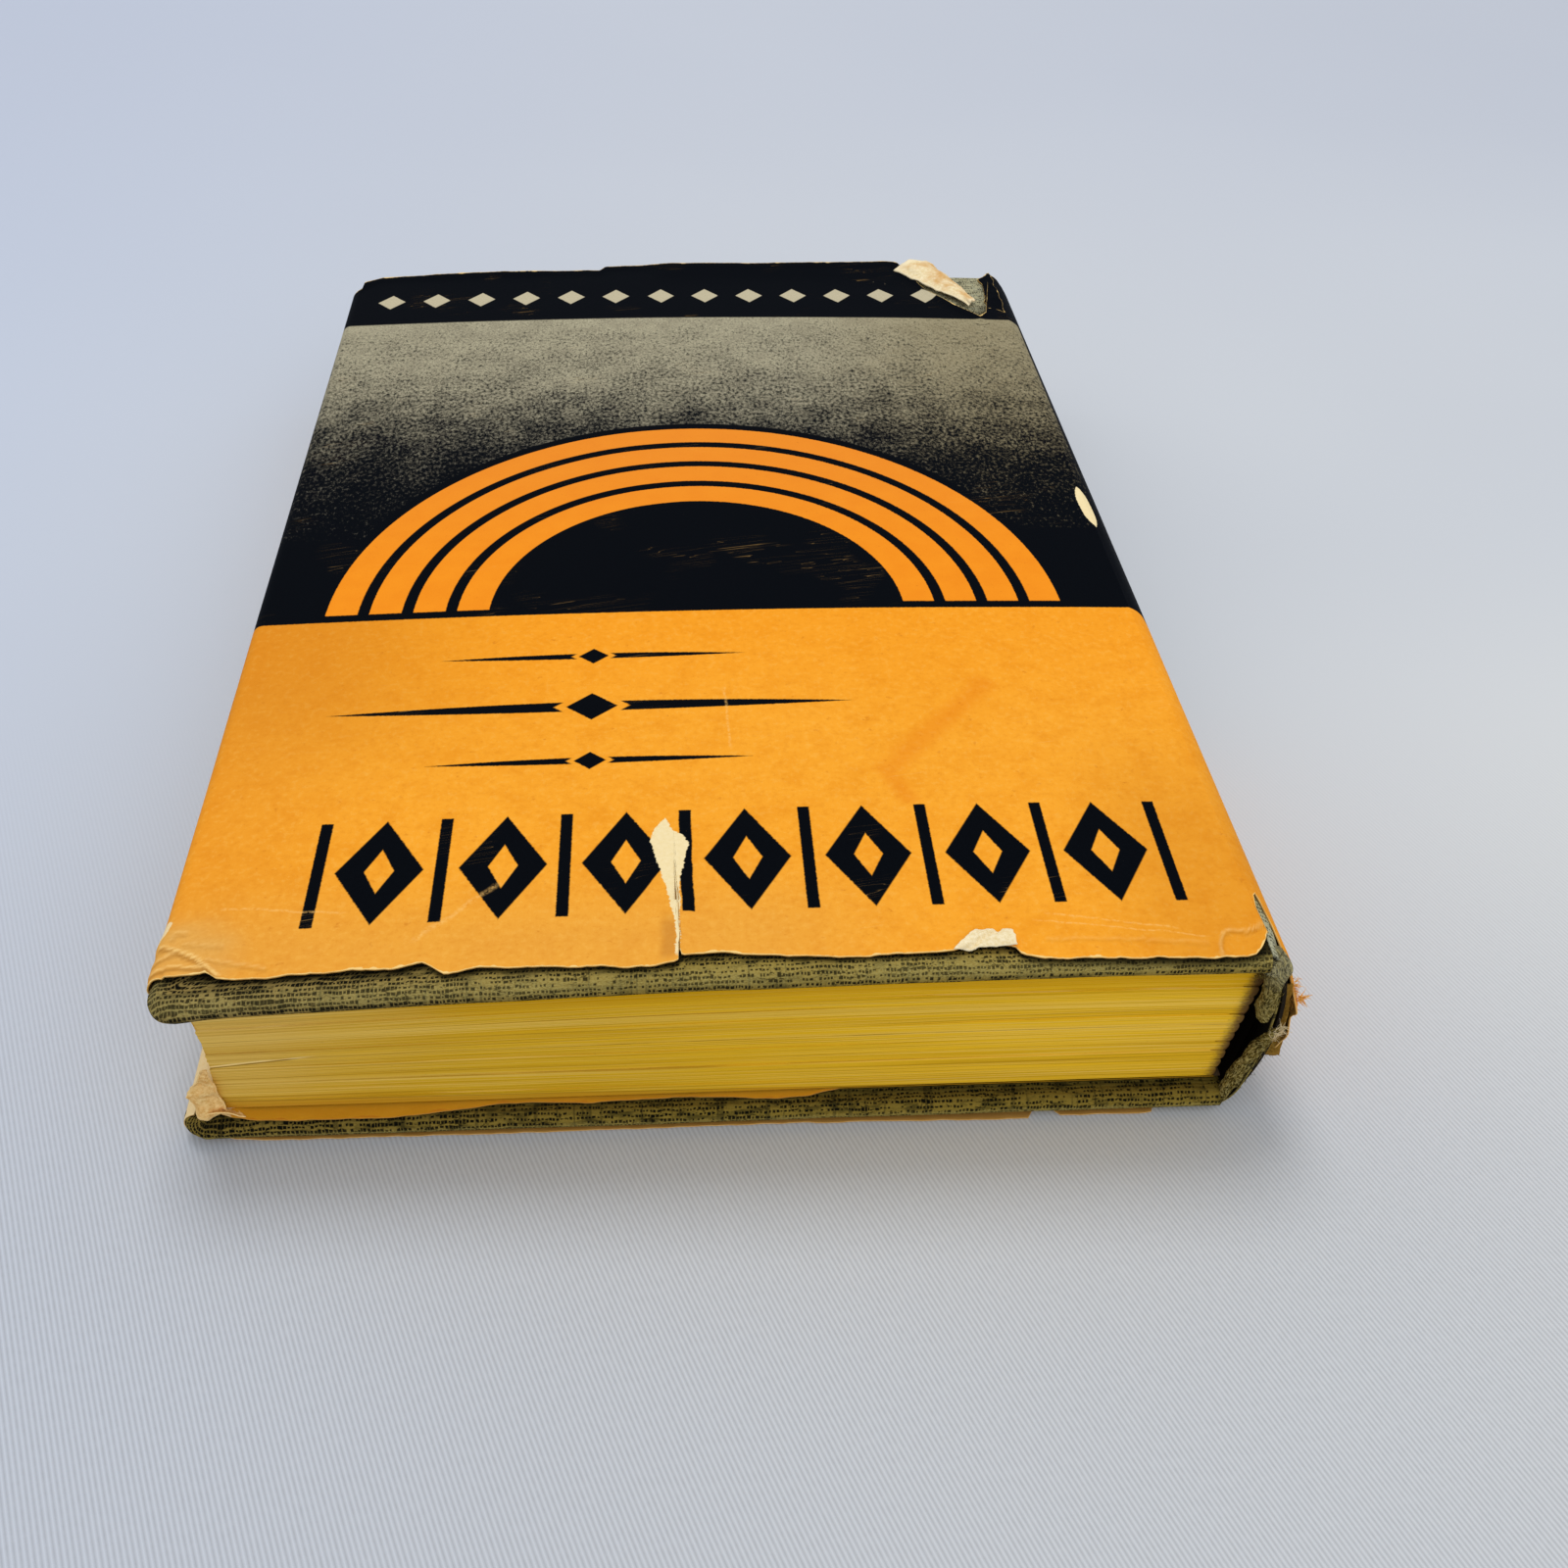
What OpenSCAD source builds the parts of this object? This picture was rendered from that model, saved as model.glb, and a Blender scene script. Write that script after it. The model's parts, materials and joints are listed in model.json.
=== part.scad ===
// A cloth-bound hardcover book in a torn paper jacket, lying on its back cover.
// X runs from the fore-edge to the spine, Y from the head to the tail and Z up.
// The origin is the middle of the back cover, on the face that it lies on.

/* [Boards] */
// Width of each cover, from its fore-edge to the joint
board_w = 135; // [110:1:180]
// Height of each cover, from head to tail
board_h = 203; // [170:1:250]
// Thickness of the bare board
board_t = 2.4; // [1.8:0.1:4]
// Rounding of the board's worn edges
board_round = 1.1; // [0.5:0.1:2]
// Rounding of the covers' corners, seen from above
corner_r = 3.4; // [3:0.1:6]

/* [Cloth] */
// Thickness of the cover cloth
cloth_t = 0.4; // [0.3:0.05:0.7]
// Width of the cloth turned in over the board's edges
turn_in = 15; // [8:1:25]
// Thickness of the cloth rolled over at the head and tail of the spine
roll_t = 1.5; // [1.3:0.05:2]

/* [Pages] */
// Thickness of the pages at the fore-edge
block_t = 17.9; // [12:0.1:50]
// Extra thickness of the pages at the spine
block_swell = 3.9; // [1:0.1:8]
// Rise of the front cover's middle above a straight line
block_bow = 1.2; // [0.5:0.1:2.5]
// How far the covers overhang the pages at head and tail
head_square = 2.6; // [1.5:0.1:6]
// How far the covers overhang the pages at the fore-edge
fore_square = 4.2; // [2:0.1:8]
// Depth of the hollow in the fore-edge of the pages
fore_hollow = 0.8; // [0.2:0.1:2]
// Number of folded gatherings in the pages
gathering_n = 12; // [8:1:20]
// Depth of the slits that have opened between gatherings at the spine
slit_d = 2.6; // [1.5:0.1:4]
// Width of those slits
slit_w = 0.14; // [0.08:0.02:0.3]
// How far the folds of the pages stand out behind the joints
block_back = 0.8; // [0:0.1:2]

/* [Sewing] */
// Number of sewing stations along the spine
station_n = 5; // [3:1:8]
// Depth of the kerf sawn at each station
kerf_d = 1.1; // [0.8:0.1:2]
// Width of each kerf
kerf_w = 1; // [0.8:0.1:2]
// Radius of the sewing thread
thread_r = 0.3; // [0.15:0.05:0.35]

/* [Papers] */
// Thickness of the endpapers
leaf_t = 0.15; // [0.1:0.01:0.3]
// Bare cloth left around the pasted-down endpaper
paste_margin = 4; // [2:0.5:8]
// Air between a closed cover and the pages
cover_gap = 0.3; // [0.2:0.05:0.6]
// Thickness of the cloth mull glued to the spine of the pages
mull_t = 0.25; // [0.15:0.05:0.5]
// Thickness of the paper lining over the mull
lining_t = 0.25; // [0.15:0.05:0.5]
// Distance of the mull from the head and tail of the pages
mull_margin = 12; // [5:1:25]
// Distance of the lining from the head and tail of the pages
lining_margin = 6; // [3:1:15]

/* [Spine] */
// Width of each joint, from the board to the line that it bends on
joint_w = 2.2; // [1.8:0.1:6]
// Gap between the two sides of a joint
joint_gap = 0.15; // [0.1:0.01:0.3]
// How far the cloth of the spine stands out behind the joints
spine_bulge = 5.2; // [4.2:0.1:8]
// Radius of the spine's two shoulders
shoulder_r = 5.5; // [4:0.1:6]
// How far each shoulder's centre lies in front of the joint
shoulder_in = 2; // [1.6:0.1:2.6]
// Thickness of the paper strip inside the spine
inlay_t = 0.5; // [0.3:0.1:1]

/* [Jacket] */
// Thickness of the jacket's paper
jacket_t = 0.2; // [0.1:0.02:0.3]
// Depth of the head edge of the cover that the slipped jacket leaves bare
jacket_slip = 3; // [0:0.1:6]
// How much lower the jacket is than the covers
jacket_short = 0.5; // [0:0.1:4]
// Width of each flap, from the fore-edge
flap_w = 88; // [60:1:100]
// Turn of the jacket's print against the book, in degrees
jacket_skew = 0.6; // [0:0.1:1.5]
// Looseness of the jacket around the covers
jacket_slack = 0.1; // [0.05:0.01:0.2]
// How far the jacket stands off behind the spine
jacket_lift = 1.5; // [0.2:0.1:3]

/* [Print] */
// Thickness of the ink fields
ink_t = 0.06; // [0.04:0.01:0.1]
// Distance of the dark field from the head of the cover
dark_start = 76.3; // [60:0.1:100]
// Distance of the stippled field's dark end from the head of the cover
stipple_start = 100; // [85:0.5:120]
// Height of the dark band at the tail of the jacket
tail_band = 24.5; // [15:0.5:30]
// Number of arches
arch_n = 4; // [2:1:5]
// Width of each arch
arch_w = 5; // [3:0.1:7]
// Dark gap between arches
arch_gap = 1.8; // [0.8:0.1:4]
// Outer radius of the largest arch
arch_r = 58; // [45:1:60]
// Number of lozenges in the frieze near the head
frieze_n = 7; // [3:1:9]
// Height of the frieze's lozenges
frieze_h = 19; // [12:0.5:24]
// Distance of the frieze's middle from the head of the cover
frieze_y = 20.5; // [18:0.5:26]
// Width of the frieze's upright bars
bar_w = 1.6; // [0.8:0.1:3]
// Thickness of the swelled rules at their middle
rule_t = 2.2; // [1:0.1:4]
// Length of the longest swelled rule
rule_l = 76; // [50:1:90]
// Distance of the longest rule from the head of the cover
rule_y = 53; // [45:0.5:60]
// Number of pale lozenges in the row near the tail
row_n = 13; // [7:1:17]
// Height of those lozenges
row_h = 6.5; // [4:0.5:9]
// Distance of that row's middle from the tail of the jacket
row_up = 14; // [9:0.5:18]

/* [Hidden] */
// Facets of a full turn of small round edges
edge_fn = 24;
$fn = edge_fn;
// Facets of a full turn of the covers' wide bow
bow_fn = 1440;
// Small overlap that lets a cut pass right through
over = 1;
// Seat between two bowed faces that lie on each other
seat = 0.05;
// Seat between ink and paper
ink_seat = 0.02;
// Distance of the front flap from the head and tail of the jacket
flap_in = 2.4;
// How far the rolled cloth stands out beyond the rest of the spine
roll_proud = 0.08;
// Step from the faces of the pages to their outermost folds
fold_step = 0.05;
// Clearance between each hinge line and the outermost face beside it
hinge_lift = 0.15;

// Heights of the pieces under the pages, from the ground up
cover_t = board_t + 2 * cloth_t;
board_r = min(board_round, board_t / 2 - 0.1);
cloth_r = board_r + cloth_t;
back_cloth_z = jacket_t + jacket_slack;
back_inner_z = back_cloth_z + cover_t;
back_flap_z = back_inner_z + leaf_t + jacket_slack;
back_leaf_z = back_flap_z + jacket_t + cover_gap;
block_z = back_leaf_z + leaf_t;

// The bow of the pages' top: its radius in whole hundredths, its tilt and its centre
bow_r = round(100 * (board_w * board_w / 4 + block_bow * block_bow) / (2 * block_bow)) / 100;
tilt = atan(block_swell / board_w);
bow_x = (bow_r - block_bow) * sin(tilt);
bow_z = block_z + block_t + block_swell / 2 - (bow_r - block_bow) * cos(tilt);

// Radii of the pieces over the pages
front_leaf_r = bow_r + seat;
front_flap_r = front_leaf_r + leaf_t + cover_gap;
front_paste_r = front_flap_r + jacket_t + jacket_slack;
front_cloth_r = front_paste_r + leaf_t + seat;
front_jacket_r = front_cloth_r + cover_t + jacket_slack;
ink_r = front_jacket_r + jacket_t + ink_seat;
over_ink_r = ink_r + ink_t + ink_seat;

// Lines across the book
hinge_x = board_w / 2 + joint_w;
cover_end_x = hinge_x - joint_gap / 2;
spine_start_x = hinge_x + joint_gap / 2;
spine_x = hinge_x + block_back;
pages_h = board_h - 2 * head_square;
jacket_h = board_h - jacket_short;
jacket_tail = jacket_slip + jacket_h;
// Middle of the front panel across the book
panel_mid = (board_w + joint_w) / 2;
// Distance of the joints' cloth from the head and tail, clear of the boards' round edges
strip_inset = cloth_r + 0.3;

// The spine's outline: two shoulders and one wide curve that meets both
shoulder_x = hinge_x - shoulder_in;
shoulder_drop = shoulder_r - sqrt(shoulder_r * shoulder_r - shoulder_in * shoulder_in);
shoulder_top_z = bow_top(hinge_x, front_cloth_r + cover_t) + shoulder_drop - shoulder_r;
shoulder_low_z = back_cloth_z - shoulder_drop + shoulder_r;
spine_mid_z = (shoulder_top_z + shoulder_low_z) / 2;
shoulder_dz = (shoulder_top_z - shoulder_low_z) / 2;
joint_top_z = bow_top(hinge_x, over_ink_r + ink_t);
front_hinge_z = joint_top_z + hinge_lift;
back_hinge_z = -hinge_lift;

// The torn head edge of the front panel: share of the cover's width, depth below the cover's head
front_head_edge = [
  [-0.06, 5.2], [0.03, 5.6], [0.052, 5.3], [0.062, 4.1], [0.095, 3.8], [0.14, 3.9], [0.18, 4.3],
  [0.215, 4], [0.24, 4.7], [0.262, 2.7], [0.29, 3.6], [0.34, 3.2], [0.39, 2.8], [0.425, 2.3],
  [0.465, 2.6], [0.471, 3.2], [0.472, 6.3], [0.4725, 9.6], [0.469, 13.9], [0.473, 12.7],
  [0.476, 9.4], [0.4755, 6.3], [0.476, 3.9], [0.51, 4], [0.56, 3.3], [0.61, 2.6], [0.67, 2.9],
  [0.71, 3.1], [0.735, 5], [0.75, 5.4], [0.765, 4.9], [0.776, 3.4], [0.78, 2], [0.8, 1.3],
  [0.87, 0.9], [0.95, 0.4], [0.99, 0.6], [1.003, 2.2], [1.04, 5.6]];

// The torn tail edge of the front panel: share of the cover's width, height above the jacket's tail
front_tail_edge = [
  [1.04, -3.5], [1.01, -4.5], [1.005, -8.5], [0.985, -22], [0.972, -24], [0.94, -19], [0.9, -12],
  [0.865, 0.6], [0.84, 1.4], [0.62, 0.8], [0.46, 1.2], [0.392, 0.9], [0.384, -1], [0.2, -0.6],
  [0.04, -1.2], [0.008, -4], [-0.06, -9]];

// The torn head edge of the back flap: share of the flap's width, depth below the cover's head
flap_head_edge = [
  [-0.06, 4], [0.035, 2.4], [0.07, 1.1], [0.16, 0.5], [0.3, 0.6], [0.36, 1], [0.44, 1.9],
  [0.5, 2.2], [0.58, 1.8], [0.73, 2.3], [0.87, 1.6], [0.91, 1.8], [1, 3.4]];

// The torn head edge of the jacket's spine: depth below the head, share of the spine's height
spine_head_edge = [
  [7.5, 1.06], [5.5, 0.985], [4, 0.95], [2.6, 0.86], [2.3, 0.8], [3.7, 0.775], [3.3, 0.72],
  [2.2, 0.67], [0.7, 0.62], [1.5, 0.585], [2.3, 0.54], [1.3, 0.46], [1.8, 0.38], [3, 0.27],
  [3.4, 0.23], [9, 0.21], [14, 0.16], [16, -0.06]];

// The bare patch where the printed face of the paper has peeled off
patch_outline = [
  [62.4, 28.4], [63.1, 26], [64.5, 25.2], [65.3, 23.6], [64.9, 21.4], [64.3, 18.5], [64, 15],
  [63.5, 10.6], [62.5, 12.2], [62.2, 15.3], [61.6, 18.6], [60.9, 21.5], [60.2, 24.3], [61, 26.6]];

// The edge piece folded back near the head, and the torn corner rolled over near the tail
chip_outline = [[0, 0], [2, 1.7], [3.3, 2.9], [5.4, 2.6], [7.4, 3.2], [8, 0.2]];
chip_x = 96.6;
chip_y = 3.3;
curl_outline = [
  [0, 12], [2.6, 8.2], [7.6, 5.2], [11.2, 0], [14.6, 2.6], [16, -0.8], [18, -0.4], [19.6, 6],
  [17, 9.4], [13.6, 8.6], [10.2, 14.4], [7.6, 21.4], [4, 23.6], [1, 22.6], [-0.6, 18]];
curl_x = 114.6;
curl_y = jacket_tail - 23.9;

function fore(d) = d - board_w / 2;
function head(d) = d - board_h / 2;
function bow_top(x, r) = bow_z + sqrt(r * r - (x - bow_x) * (x - bow_x));
function bow_angle(x, r) = asin(x / r);

// Drawn in X and Z, and stretched along Y
module along_y(y0, y1) {
  translate([0, y1, 0])
    rotate([90, 0, 0])
      linear_extrude(y1 - y0)
        children();
}

// Drawn in Y and Z, and stretched along X
module along_x(x0, x1) {
  translate([x0, 0, 0])
    rotate([90, 0, 90])
      linear_extrude(x1 - x0)
        children();
}

module round_rect(w, h, r) {
  translate([r, 0])
    square([w - 2 * r, h]);
  translate([0, r])
    square([w, h - 2 * r]);
  for (x = [r, w - r], y = [r, h - r])
    translate([x, y])
      circle(r);
}

// Cross-section of a slab's edge, flat up to its round end
module edge_profile(w, t, r) {
  intersection() {
    square([w, t]);
    union() {
      square([w - r, t]);
      translate([0, r])
        square([w, t - 2 * r]);
      for (y = [r, t - r])
        translate([w - r, y])
          circle(r);
    }
  }
}

// Half of a flat ring, open to the right
module fold_ring(r0, r1) {
  difference() {
    circle(r1);
    circle(r0);
    translate([0, -r1 - over])
      square([r1 + over, 2 * (r1 + over)]);
  }
}

// The drawing plane with the bow's centre as its origin
module in_bow() {
  translate([bow_x, bow_z])
    rotate(tilt)
      children();
}

// A bowed strip between two radii and two angles from upright
module bow_band(r0, r1, a0, a1) {
  cut_w = 2 * board_w;
  cut_h = board_w / 2;
  intersection() {
    difference() {
      circle(r1, $fn = bow_fn);
      circle(r0, $fn = bow_fn);
    }
    rotate(-a0)
      translate([0, r0 - cut_h])
        square([cut_w, 2 * cut_h]);
    rotate(-a1)
      translate([-cut_w, r0 - cut_h])
        square([cut_w, 2 * cut_h]);
  }
}

// The bow's axis as Z, with the radius at angle a0 as X
module on_bow_axis(a0) {
  translate([bow_x, 0, bow_z])
    rotate([0, -tilt, 0])
      rotate([-90, 0, 0])
        rotate([0, 0, a0 - 90])
          children();
}

// A profile of radius and Y, turned about the bow's axis
module bowed(a0, a1) {
  on_bow_axis(a0)
    rotate_extrude(angle = a1 - a0, $fn = bow_fn)
      let ($fn = edge_fn)
        children();
}

// The edge and the two round corners at the fore-edge end of a slab
module slab_edge(t, r, corner, half_h) {
  along_y(-half_h + corner, half_h - corner)
    mirror([1, 0])
      edge_profile(corner, t, r);
  for (side = [-1, 1])
    translate([0, side * (half_h - corner), 0])
      rotate([0, 0, 135 - 45 * side])
        rotate_extrude(angle = 90)
          edge_profile(corner, t, r);
}

module bowed_slab(r0, t, r, inset, end_inset) {
  half_h = board_h / 2 - inset;
  corner = corner_r - inset;
  a0 = -bow_angle(board_w / 2 - inset - corner, bow_r);
  bowed(a0, bow_angle(board_w / 2 - end_inset, bow_r))
    translate([r0, -half_h])
      round_rect(t, 2 * half_h, r);
  on_bow_axis(a0)
    translate([r0, 0, 0])
      rotate([90, 0, 90])
        slab_edge(t, r, corner, half_h);
}

module flat_slab(z0, t, r, inset, end_inset) {
  half_h = board_h / 2 - inset;
  corner = corner_r - inset;
  along_x(fore(inset + corner), fore(board_w - end_inset))
    translate([-half_h, z0])
      round_rect(2 * half_h, t, r);
  translate([fore(inset + corner), 0, z0])
    slab_edge(t, r, corner, half_h);
}

// The bare part of a board's inner face, between the turned-in cloth
module bare_face(z, t) {
  translate([fore(turn_in), head(turn_in), z])
    cube([board_w - turn_in - 2 * board_r, board_h - 2 * turn_in, t]);
}

module bowed_bare_face(r0, t) {
  bowed(bow_angle(fore(turn_in), bow_r), bow_angle(fore(board_w - 2 * board_r), bow_r))
    translate([r0, head(turn_in)])
      square([t, board_h - 2 * turn_in]);
}

module front_board() {
  color([0.55, 0.47, 0.36]) {
    bowed_slab(front_cloth_r + cloth_t, board_t, board_r, cloth_t, cloth_t);
    bowed_bare_face(front_cloth_r, 2 * cloth_t);
  }
}

// The cloth of the front joint, doubled, from the board to the line it bends on
module front_joint_strip() {
  outer_r = front_cloth_r + cover_t - seat;
  intersection() {
    along_y(head(strip_inset), head(board_h - strip_inset))
      in_bow()
        bow_band(outer_r - 2 * cloth_t, outer_r, bow_angle(board_w / 2 - cloth_t / 2, bow_r),
                 bow_angle(hinge_x + over, bow_r));
    up_to_cover_end();
  }
}

module front_cloth() {
  color([0.45, 0.43, 0.31]) {
    difference() {
      bowed_slab(front_cloth_r, cover_t, cloth_r, 0, 0);
      bowed_slab(front_cloth_r + cloth_t, board_t, board_r, cloth_t, cloth_t);
      bowed_bare_face(front_cloth_r - over, 2 * cloth_t + over);
    }
    front_joint_strip();
  }
}

// Everything in front of the line where a cover ends
module up_to_cover_end() {
  translate([cover_end_x - 2 * board_w, -board_h, -board_w])
    cube([2 * board_w, 2 * board_h, 3 * board_w]);
}

// Everything behind the line where the spine starts
module from_spine_start() {
  translate([spine_start_x, -board_h, -board_w])
    cube([board_w, 2 * board_h, 3 * board_w]);
}

module front_pastedown() {
  color([0.86, 0.79, 0.62])
    intersection() {
      along_y(head(paste_margin), head(board_h - paste_margin))
        in_bow()
          bow_band(front_paste_r, front_paste_r + leaf_t,
                   bow_angle(fore(paste_margin), bow_r), bow_angle(hinge_x + over, bow_r));
      up_to_cover_end();
    }
}

module back_board() {
  color([0.55, 0.47, 0.36]) {
    flat_slab(back_cloth_z + cloth_t, board_t, board_r, cloth_t, cloth_t);
    bare_face(back_inner_z - 2 * cloth_t, 2 * cloth_t);
  }
}

module back_cloth() {
  strip_x = fore(board_w - cloth_t / 2);
  color([0.45, 0.43, 0.31]) {
    difference() {
      flat_slab(back_cloth_z, cover_t, cloth_r, 0, 0);
      flat_slab(back_cloth_z + cloth_t, board_t, board_r, cloth_t, cloth_t);
      bare_face(back_inner_z - 2 * cloth_t, 2 * cloth_t + over);
    }
    translate([strip_x, head(strip_inset), back_cloth_z + seat])
      cube([cover_end_x - strip_x, board_h - 2 * strip_inset, 2 * cloth_t]);
  }
}

module back_pastedown() {
  color([0.86, 0.79, 0.62])
    translate([fore(paste_margin), head(paste_margin), back_inner_z])
      cube([cover_end_x - fore(paste_margin), board_h - 2 * paste_margin, leaf_t]);
}

// The outline of the pages, with a rounded fold for each gathering
module pages_outline() {
  folds_z = block_z + fold_step;
  fold_pitch = (bow_top(spine_x, bow_r) - fold_step - folds_z) / gathering_n;
  fold_r = fold_pitch / 2;
  fore_x = fore(fore_square);
  fore_top = bow_top(fore_x, bow_r) - block_z;
  hollow_r = (fore_top * fore_top / 4 + fore_hollow * fore_hollow) / (2 * fore_hollow);
  difference() {
    union() {
      intersection() {
        translate([fore_x, block_z])
          square([spine_x - fold_r - fore_x, 2 * (block_t + block_swell)]);
        in_bow()
          circle(bow_r, $fn = bow_fn);
      }
      for (i = [0 : gathering_n - 1])
        translate([spine_x - fold_r, folds_z + (i + 0.5) * fold_pitch])
          circle(fold_r);
    }
    translate([fore_x + fore_hollow - hollow_r, block_z + fore_top / 2])
      circle(hollow_r, $fn = 180);
    for (i = [1 : gathering_n - 1])
      translate([spine_x - slit_d, folds_z + i * fold_pitch - slit_w / 2])
        square([slit_d + over, slit_w]);
  }
}

function station_y(i) = head(head_square + pages_h * (i + 0.5) / station_n);

module text_block() {
  color([0.85, 0.72, 0.4])
    difference() {
      along_y(-pages_h / 2, pages_h / 2)
        pages_outline();
      for (i = [0 : station_n - 1])
        translate([spine_x - kerf_d, station_y(i) - kerf_w / 2, block_z - over])
          cube([kerf_d + over, kerf_w, 2 * (block_t + block_swell)]);
    }
}

module front_flyleaf() {
  color([0.86, 0.79, 0.62])
    along_y(-pages_h / 2, pages_h / 2)
      in_bow()
        bow_band(front_leaf_r, front_leaf_r + leaf_t,
                 bow_angle(fore(fore_square), bow_r), bow_angle(hinge_x - over, bow_r));
}

module back_flyleaf() {
  color([0.86, 0.79, 0.62])
    translate([fore(fore_square), -pages_h / 2, back_leaf_z])
      cube([hinge_x - over - fore(fore_square), pages_h, leaf_t]);
}

// Height of the folds that the mull and the lining cover
function spine_pages_h() = bow_top(spine_x, bow_r) - block_z - 2 * over;

module spine_mull() {
  color([0.78, 0.72, 0.58])
    translate([spine_x + seat, head(head_square + mull_margin), block_z + over])
      cube([mull_t, pages_h - 2 * mull_margin, spine_pages_h()]);
}

module spine_lining() {
  color([0.58, 0.45, 0.3])
    translate([spine_x + seat + mull_t, head(head_square + lining_margin), block_z + over])
      cube([lining_t, pages_h - 2 * lining_margin, spine_pages_h()]);
}

module sewing_thread() {
  color([0.88, 0.84, 0.74])
    for (i = [0 : station_n - 1])
      translate([spine_x - kerf_d / 2, station_y(i), block_z + over])
        cylinder(h = spine_pages_h(), r = thread_r);
}

// The spine's outline in X and Z, drawn in by inset and stretched behind by lift
module spine_outline(inset, lift) {
  r = shoulder_r - inset;
  reach = spine_bulge + shoulder_in + lift - inset;
  wide_r = (reach * reach + shoulder_dz * shoulder_dz - r * r) / (2 * (reach - r));
  wide_x = shoulder_x + reach - wide_r;
  slope = shoulder_dz / (shoulder_x - wide_x);
  far = 2 * wide_r;
  for (z = [shoulder_low_z, shoulder_top_z])
    translate([shoulder_x, z])
      circle(r, $fn = 96);
  translate([shoulder_x - joint_w, shoulder_low_z - r])
    square([joint_w, 2 * (shoulder_dz + r)]);
  intersection() {
    translate([wide_x, spine_mid_z])
      circle(wide_r, $fn = 360);
    translate([wide_x, spine_mid_z])
      polygon([[0, 0], [far, -far * slope], [far, far * slope]]);
    translate([shoulder_x - joint_w, shoulder_low_z - r])
      square([far, 2 * (shoulder_dz + r)]);
  }
}

module spine_band(inset0, inset1, lift) {
  difference() {
    spine_outline(inset0, lift);
    spine_outline(inset1, lift);
  }
}

// The slanting tear in the cloth at the head of the spine
module head_tear() {
  tear_z = spine_mid_z + 1.6;
  tear_depth = 7;
  along_x(hinge_x, hinge_x + 2 * spine_bulge)
    polygon([
      [head(-over), tear_z + 0.9], [head(-over), tear_z - 0.6], [head(1), tear_z - 0.3],
      [head(tear_depth), tear_z + 1.1]]);
}

module spine_cloth() {
  lap = cloth_t + inlay_t;
  color([0.45, 0.43, 0.31])
    intersection() {
      difference() {
        union() {
          along_y(head(0), head(roll_t))
            spine_band(-roll_proud, roll_t - roll_proud, 0);
          along_y(head(roll_t), head(board_h - roll_t))
            spine_band(0, cloth_t, 0);
          along_y(head(board_h - roll_t), head(board_h))
            spine_band(-roll_proud, roll_t - roll_proud, 0);
          for (y = [head(roll_t), head(board_h - turn_in)])
            along_y(y, y + turn_in - roll_t)
              spine_band(lap, lap + cloth_t, 0);
        }
        head_tear();
      }
      from_spine_start();
    }
}

module spine_inlay() {
  color([0.5, 0.42, 0.32])
    intersection() {
      along_y(head(roll_t), head(board_h - roll_t))
        spine_band(cloth_t, cloth_t + inlay_t, 0);
      from_spine_start();
    }
}

// Plan outline of the jacket's front panel, torn at head and tail
module front_panel_plan() {
  tail_y = head(jacket_tail);
  polygon(concat(
    [for (p = front_head_edge) [fore(p[0] * board_w), head(p[1])]],
    [for (p = front_tail_edge) [fore(p[0] * board_w), tail_y + p[1]]]));
}

// Angle of the fold of the front jacket, from upright
function front_fold_angle() = -bow_angle(board_w / 2 - front_fold_r() + jacket_slack, bow_r);
function front_fold_r() = (front_jacket_r - front_flap_r - jacket_t) / 2;

module front_fold(r0, r1) {
  rotate(-front_fold_angle())
    translate([0, front_jacket_r - front_fold_r()])
      fold_ring(r0, r1);
}

// A layer on the outside of the front jacket: its panel and its fold
module front_layer(r0, t) {
  fold_r0 = front_fold_r() + r0 - front_jacket_r;
  intersection() {
    along_y(head(-board_h), head(2 * board_h))
      in_bow() {
        bow_band(r0, r0 + t, front_fold_angle(), bow_angle(hinge_x + over, bow_r));
        front_fold(fold_r0, fold_r0 + t);
      }
    up_to_cover_end();
  }
}

module plan_prism() {
  translate([0, 0, -board_w])
    linear_extrude(3 * board_w)
      children();
}

module jacket_front() {
  color([0.93, 0.56, 0.16]) {
    intersection() {
      front_layer(front_jacket_r, jacket_t);
      plan_prism()
        front_panel_plan();
    }
    along_y(head(jacket_slip + flap_in), head(jacket_tail - flap_in))
      in_bow() {
        bow_band(front_flap_r, front_flap_r + jacket_t, front_fold_angle(),
                 bow_angle(fore(flap_w), bow_r));
        front_fold(front_fold_r(), front_fold_r() + jacket_t);
      }
  }
}

module back_flap_plan() {
  tail_y = head(jacket_tail);
  polygon(concat(
    [for (p = flap_head_edge) [fore(p[0] * flap_w), head(p[1])]],
    [[fore(flap_w), tail_y - 2], [fore(-0.06 * flap_w), tail_y - 2]]));
}

module jacket_back() {
  fold_r = (back_flap_z - jacket_t) / 2;
  fold_x = fore(fold_r - jacket_slack);
  top_y = head(jacket_slip - 1.6);
  tail_y = head(jacket_tail - 2);
  color([0.9, 0.52, 0.14]) {
    along_y(top_y, tail_y) {
      translate([fold_x, 0])
        square([cover_end_x - fold_x, jacket_t]);
      translate([fold_x, fold_r + jacket_t])
        fold_ring(fold_r, fold_r + jacket_t);
    }
    intersection() {
      translate([fold_x, head(-over), back_flap_z])
        cube([flap_w - (fold_r - jacket_slack), board_h + 2 * over, jacket_t]);
      plan_prism()
        back_flap_plan();
    }
  }
}

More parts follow.
